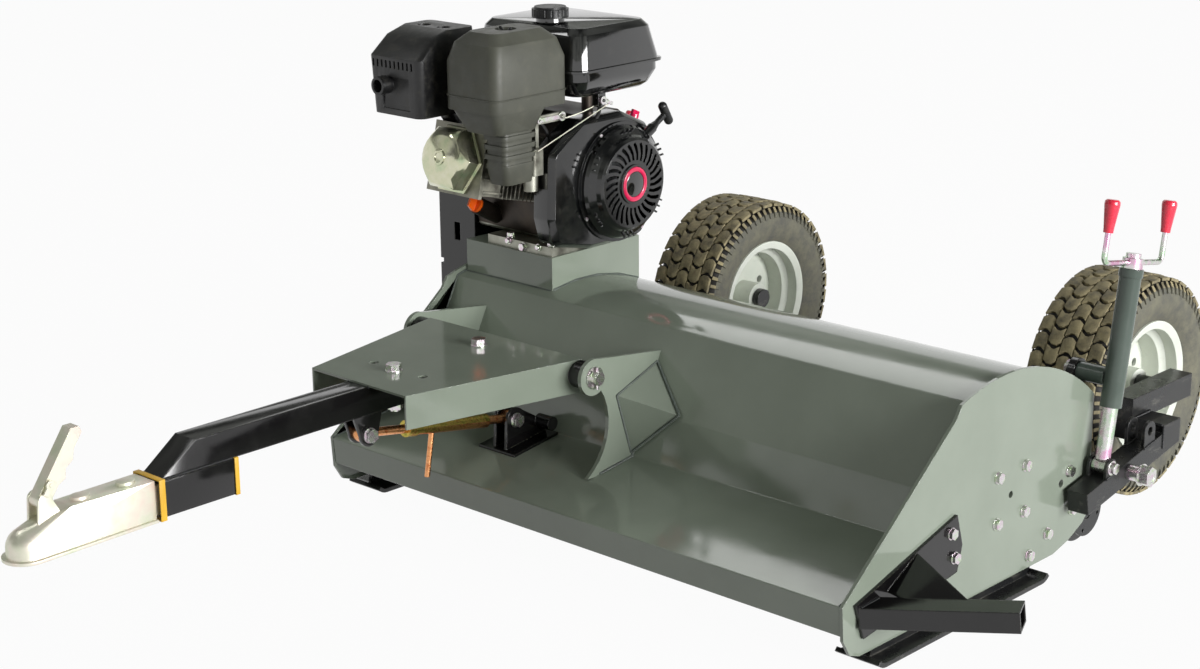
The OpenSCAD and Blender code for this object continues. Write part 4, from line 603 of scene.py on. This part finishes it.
def deck_welds():
    """Beads at the ears' feet, along the side plates, round the braces and at the engine's mount."""
    foot = [(150, 139.5), (190, 144.8), (234, 150.5), (237, 158)]
    ears = [[(HITCH_X + side * EAR_HALF + edge, y, z) for y, z in foot]
            for side in (-1, 1) for edge in (-4, 4)]
    weld("ear_welds", ears, 3.2, weld_metal)
    seam = [(2, 120), (234, 151.5), (260.5, 231)] + [(y, on_hood(y, 1)) for y in range(332, 700, 16)]
    seams = [[(s * SEAM_X, y, z) for y, z in seam] for s in (-1, 1)]
    weld("hood_welds", seams, 2.0, weld_metal)
    braces = []
    for side in (-1, 1):
        x = HITCH_X + side * (EAR_HALF + 4.5)
        tip = (HITCH_X + side * 317, 261, 240)
        top, high, low = (x, 194, 274), (x, 302, 313), (x, 231, 158)
        braces += [[top, high], [top, low], [high, tip], [low, tip]]
    weld("brace_welds", braces, 2.4, weld_metal)
    mount = [[(-360, y, on_hood(y, 0)) for y in (360, 420, 480, 540, 598)],
             [(x, 356, 372.5) for x in (-590, -540, -480, -420, -362)]]
    weld("mount_welds", mount, 3.2, weld_metal)


def black_welds():
    """Beads on the black pieces: the receiver, the stub's plate, the arms and the drawbar's rear end."""
    sides = [[(HITCH_X + s * 25, y, 293.5) for y in (-489, -540, -590, -634)] for s in (-1, 1)]
    end = [(HITCH_X - 26, -489, 292.5), (HITCH_X + 26, -489, 292.5)]
    weld("receiver_welds", sides + [end], 3.0, black_weld, "hitch")
    stub = [(608.5, y, z) for y, z in ((40, 78), (40, 108), (86, 110), (86, 78))]
    weld("stub_welds", [stub], 3.0, black_weld)
    for s, side in ((1, "near"), (-1, "far")):
        lines = [[(ARM_OUT, 683, 152.5), (ARM_OUT, 715, 158.5)],
                 [(ARM_OUT, 807, 176), (ARM_OUT, 843, 182.5)],
                 [(ARM_OUT, 872, 161), (ARM_OUT, 872, 202)],
                 [(591, 872, 203.5), (591, 931, 203.5)],
                 [(592, 871, 203.5), (650, 871, 203.5)]]
        mirrored = [[(s * x, y, z) for x, y, z in line] for line in lines]
        weld(f"arm_welds_{side}", mirrored, 2.6, black_weld, f"arm_{side}")
    # A single spot on each side
    spots = [[(HITCH_X + s * 25, y, 342.5) for y in (-204, -203)] for s in (-1, 1)]
    weld("bar_welds", spots, 3.0, black_weld, "hitch")


deck_welds()
black_welds()


# Nodes whose facets would show, and faces with another finish than their node

# The crankcase's bare foot and the turnbuckle's hanging bar end at these heights, and the hitch frame's
# black spacers lie past SPACER_IN from its middle, round the tilt pins
FOOT_TOP, TOMMY_TOP = 464, 214
TILT_Y, SPACER_IN, SPACER_REACH = 137, 196, 30


def on_spacer(x, y, z):
    """Whether a face of the hitch frame belongs to a spacer at one of its ends."""
    return abs(x - HITCH_X) > SPACER_IN and abs(y - TILT_Y) < SPACER_REACH


face_finish("crankcase", pale_casting, lambda x, y, z: z < FOOT_TOP)
face_finish("turnbuckle_body", copper_zinc, lambda x, y, z: z < TOMMY_TOP)
face_finish("hitch_frame", black_enamel, on_spacer)
# The hood's lower angle keeps its fold of 8 degrees, which would be shaded away at the usual one
softened("hood", "deck", 2.2, 6.5)
softened("fuel_tank", "deck", 2.6)
softened("air_cleaner", "deck", 2.2)
softened("muffler", "deck", 1.6)
softened("fan_shroud", "deck", 2.0)
softened("valve_cover", "deck", 3.0)
softened("coupler", "hitch", 0.8)
softened("drawbar", "hitch", 2.2)
for side in ("near", "far"):
    softened("arm_" + side, "arm_" + side, 1.8)


# Small parts of the engine and hitch

RECEIVER_Z = 263
CRANK_Y, CRANK_Z = 521, 562
# A hexagon's radius at its corners, as a share of its width across flats
CORNER = 0.577


def trim_ring(name, y0, y1, out):
    """A thin trim frame round an end of the receiver, out mm from its middle line."""
    nothing_selected()
    lo, hi = at(HITCH_X - out, y0, RECEIVER_Z - out), at(HITCH_X + out, y1, RECEIVER_Z + out)
    bpy.ops.mesh.primitive_cube_add(size=1, location=(lo + hi) / 2)
    ring = bpy.context.object
    ring.scale = hi - lo
    bpy.ops.object.transform_apply(location=True, rotation=True, scale=True)
    bpy.ops.object.mode_set(mode="EDIT")
    bpy.ops.mesh.select_mode(type="FACE")
    bpy.ops.mesh.select_all(action="DESELECT")
    bpy.ops.object.mode_set(mode="OBJECT")
    for face in ring.data.polygons:
        face.select = abs(face.normal.y) > 0.9
    bpy.ops.object.mode_set(mode="EDIT")
    bpy.ops.mesh.delete(type="FACE")
    bpy.ops.mesh.select_mode(type="VERT")
    bpy.ops.object.mode_set(mode="OBJECT")
    wall = ring.modifiers.new("wall", "SOLIDIFY")
    wall.thickness = 2.6 * MM
    wall.offset = -1
    edge = ring.modifiers.new("edge", "BEVEL")
    edge.width = 0.7 * MM
    edge.segments = 2
    for modifier in ("wall", "edge"):
        bpy.ops.object.modifier_apply(modifier=modifier)
    settle(ring, name, "hitch", yellow_trim)


trim_ring("trim_front", -645.5, -634, 34.5)
trim_ring("trim_rear", -496, -487.6, 31.8)


def badge():
    """The round plate on the starter, a red ring round a bare black field."""
    middle = at(-300, CRANK_Y, CRANK_Z)
    ring = lathe([(0, 24), (3.4, 25), (4.2, 27), (4.2, 31), (3.4, 33), (0, 34)], 48, middle, (1, 0, 0))
    settle(ring, "badge_ring", "deck", magenta_plastic)
    field = lathe([(0, 0.01), (3.2, 0.01), (3.4, 22), (2.4, 24.4), (0, 24.4)], 48, middle, (1, 0, 0))
    settle(field, "badge_field", "deck", gloss_black)


badge()


def bolt_heads(name, places, across_mm, tall_mm, body):
    """Hexagon heads on washers; each place is a point and the way that the bolt points."""
    nothing_selected()
    bpy.ops.mesh.primitive_cylinder_add(vertices=6, radius=across_mm * CORNER * MM, depth=tall_mm * MM)
    head = bpy.context.object
    head.data.transform(Matrix.Translation((0, 0, (tall_mm / 2 + 2) * MM)))
    top = head.modifiers.new("top", "BEVEL")
    top.width, top.segments, top.limit_method = 0.9 * MM, 2, "ANGLE"
    bpy.ops.object.modifier_apply(modifier="top")
    hole, rim = across_mm * 0.3, across_mm * 0.7
    outline = [(0, hole), (2, hole), (2, across_mm * 0.66), (1.6, rim), (0, rim)]
    washer = lathe(outline, 32, (0, 0, 0), (0, 0, 1))
    model = joined([head, washer])
    turns = [Matrix.Translation(at(*point)) @ turned_to(way) for point, way in places]
    settle(copied(model, turns), name, body, zinc)


for s, side in ((1, "near"), (-1, "far")):
    bolt_heads(f"jack_pin_heads_{side}", [((s * ARM_OUT, 699, 170), (s, 0, 0))], 19, 8, f"arm_{side}")
bolt_heads("foot_bolts", [((x, 362, 452), (0, -1, 0)) for x in (-480, -400)], 10, 5, "deck")


def jack_collar(s, side):
    """The thicker ring at the top of a jack's outer tube, 176 mm up the tube from its pin."""
    lean = Vector((0, 28, 152)).normalized()
    top = at(s * JACK_X, 727, 322) + lean * 176 * MM
    ring = lathe([(0, 18.6), (0.6, 19.7), (14.6, 19.7), (15.2, 18.6)], 48, top, lean)
    settle(ring, f"jack_collar_{side}", f"jack_{side}", jack_enamel)


jack_collar(1, "near")
jack_collar(-1, "far")


def cleaner_seam():
    """The joint between the air cleaner's cover and its base, a thin rim round it."""
    x0, y0, x1, y1, r, z = -466.6, 187.4, -329.4, 378.6, 20, 762
    corners = ((x1 - r, y1 - r, 0), (x0 + r, y1 - r, 90), (x0 + r, y0 + r, 180), (x1 - r, y0 + r, 270))
    ring = []
    for cx, cy, start in corners:
        turns = [radians(start + a) for a in range(0, 91, 15)]
        ring += [(cx + r * cos(turn), cy + r * sin(turn), z) for turn in turns]
    rod("cleaner_seam", ring + ring[:1], 1.5, olive_plastic, smooth_line=False)


cleaner_seam()


def louvres():
    """Short slots in groups of three on the shoulder of the starter's cover."""
    nothing_selected()
    bpy.ops.mesh.primitive_cube_add(size=1)
    bar = bpy.context.object
    bar.scale = (5 * MM, 17 * MM, 3.4 * MM)
    bpy.ops.object.transform_apply(location=True, rotation=True, scale=True)
    edge = bar.modifiers.new("edge", "BEVEL")
    edge.width, edge.segments = 1.4 * MM, 3
    bpy.ops.object.modifier_apply(modifier="edge")
    middle = Matrix.Translation(at(-340, CRANK_Y, CRANK_Z))
    shoulder = Matrix.Translation((22.6 * MM, 0, 99.5 * MM)) @ Matrix.Rotation(radians(40), 4, "Y")
    places = []
    for group in (60, 125, 180, 235, 300, 0):
        for i in (-1, 0, 1):
            around = Matrix.Rotation(radians(group + 7 * i), 4, "X")
            places.append(middle @ around @ shoulder @ Matrix.Rotation(pi / 2, 4, "X"))
    settle(copied(bar, places), "cover_louvres", "deck", gloss_black)


louvres()


def starter_rope():
    """The starter's rope, short inside its guide at rest, on no body of its own."""
    pull = Vector((0, cos(pi / 6), sin(pi / 6)))
    grip = at(-322, 598, 657)
    start, end = grip - pull * 20 * MM, grip + pull * 8 * MM
    # Rings all along it, evenly spaced
    sides = [(along, 2.2) for along in range(0, 29, 2)]
    rope = lathe([(0, 0.01)] + sides + [(28, 0.01)], 16, start, pull)
    settle(rope, "starter_rope", None, rope_nylon)
    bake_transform(rope)


starter_rope()

rod("governor_rod", [(-348, 500, 722), (-336, 494, 718), (-336, 300, 656), (-350, 296, 654)], 1.2,
    bright_zinc, smooth_line=False)
rod("throttle_cable", [(-345, 486, 722), (-352, 440, 708), (-360, 396, 700)], 1.2, bright_zinc)
rod("breather_hose", [(-470, 270, 690), (-462, 250, 705), (-448, 232, 716), (-440, 222, 728)], 6,
    black_rubber)
rod("fuel_hose", [(-344, 476, 716), (-350, 470, 690), (-362, 430, 672), (-372, 380, 650), (-376, 338, 630)],
    4, black_rubber)


# Light, floor and background

FLOOR_SIZE, WALL_R, WALL_H = 60, 29, 7


def lamp(name, place, aim, size, power):
    """A rectangular lamp that faces its aim."""
    data = bpy.data.lights.new(name, "AREA")
    data.shape = "RECTANGLE"
    data.size, data.size_y = size
    data.energy = power
    light = bpy.data.objects.new(name, data)
    light.location = place
    light.rotation_euler = (Vector(aim) - Vector(place)).to_track_quat("-Z", "Y").to_euler()
    scene.collection.objects.link(light)


lamp("side", (8.0, 0.6, 1.9), (0.1, 0, 0.4), (5.4, 2.3), 900)
lamp("window", (-2.2, -1.5, 3.4), (0, 0, 0.3), (1.4, 0.6), 14)
lamp("back", (-3.2, 3.7, 4.4), (-0.2, 0.1, 0.5), (3.0, 2.8), 52)


def set_world():
    """A dim room with paler patches, which the camera never sees, because the floor fills its view."""
    world = bpy.data.worlds.new("studio")
    scene.world = world
    world.use_nodes = True
    world.node_tree.nodes.clear()
    way = (add(world, "TexCoord"), "Generated")
    height = add(world, "SeparateXYZ", {}, {"Vector": way})
    level = add(world, "MapRange", {}, {"Value": (height, "Z"), "From Min": 0.0, "From Max": 0.7,
                                        "To Min": 0.34, "To Max": 0.15})
    patches = add(world, "TexNoise", {}, {"Vector": way, "Scale": 2.2, "Detail": 2.0})
    patches = add(world, "MapRange", {}, {"Value": (patches, "Fac"), "From Min": 0.42, "From Max": 0.6,
                                          "To Min": 0.35, "To Max": 2.4})
    level = add(world, "Math", {"operation": "MULTIPLY"}, {0: (level, "Result"), 1: (patches, "Result")})
    sky = add(world, "Background", {}, {"Color": linear("#f7faf2"), "Strength": (level, "Value")})
    add(world, "OutputWorld", {}, {"Surface": (sky, "Background")})


set_world()


def background_ray(mat):
    """A link that is 1 for rays from the camera, and in metal and clear parts."""
    rays = add(mat, "LightPath")
    seen = add(mat, "Math", {"operation": "MAXIMUM"},
               {0: (rays, "Is Camera Ray"), 1: (rays, "Is Glossy Ray")})
    return add(mat, "Math", {"operation": "MAXIMUM"}, {0: (seen, "Value"), 1: (rays, "Is Transmission Ray")})


def set_floor():
    """A pale floor that glows for the camera, and a low wall far off for views over the floor's end."""
    nothing_selected()
    bpy.ops.mesh.primitive_plane_add(size=FLOOR_SIZE, location=(0, 0, 0))
    floor = bpy.context.object
    floor.name = "floor"
    mat = bpy.data.materials.new("pale_floor")
    mat.use_nodes = True
    mat.node_tree.nodes.clear()
    matt = add(mat, "BsdfDiffuse", {}, {"Color": linear("#a8a8a6")})
    glow = add(mat, "Emission", {}, {"Color": linear("#ffffff"), "Strength": 1.0})
    direct = add(mat, "Math", {"operation": "MULTIPLY"}, {0: (background_ray(mat), "Value"), 1: 0.96})
    blend = add(mat, "MixShader", {}, {"Fac": (direct, "Value"), 1: (matt, "BSDF"), 2: (glow, "Emission")})
    add(mat, "OutputMaterial", {}, {"Surface": (blend, "Shader")})
    floor.data.materials.append(mat)
    bpy.ops.mesh.primitive_cylinder_add(vertices=96, radius=WALL_R, depth=WALL_H, end_fill_type="NOTHING",
                                        location=(0, 0, WALL_H / 2))
    wall = bpy.context.object
    wall.name = "far_wall"
    wall.data.materials.append(mat)


set_floor()
scene.view_settings.view_transform = "Standard"
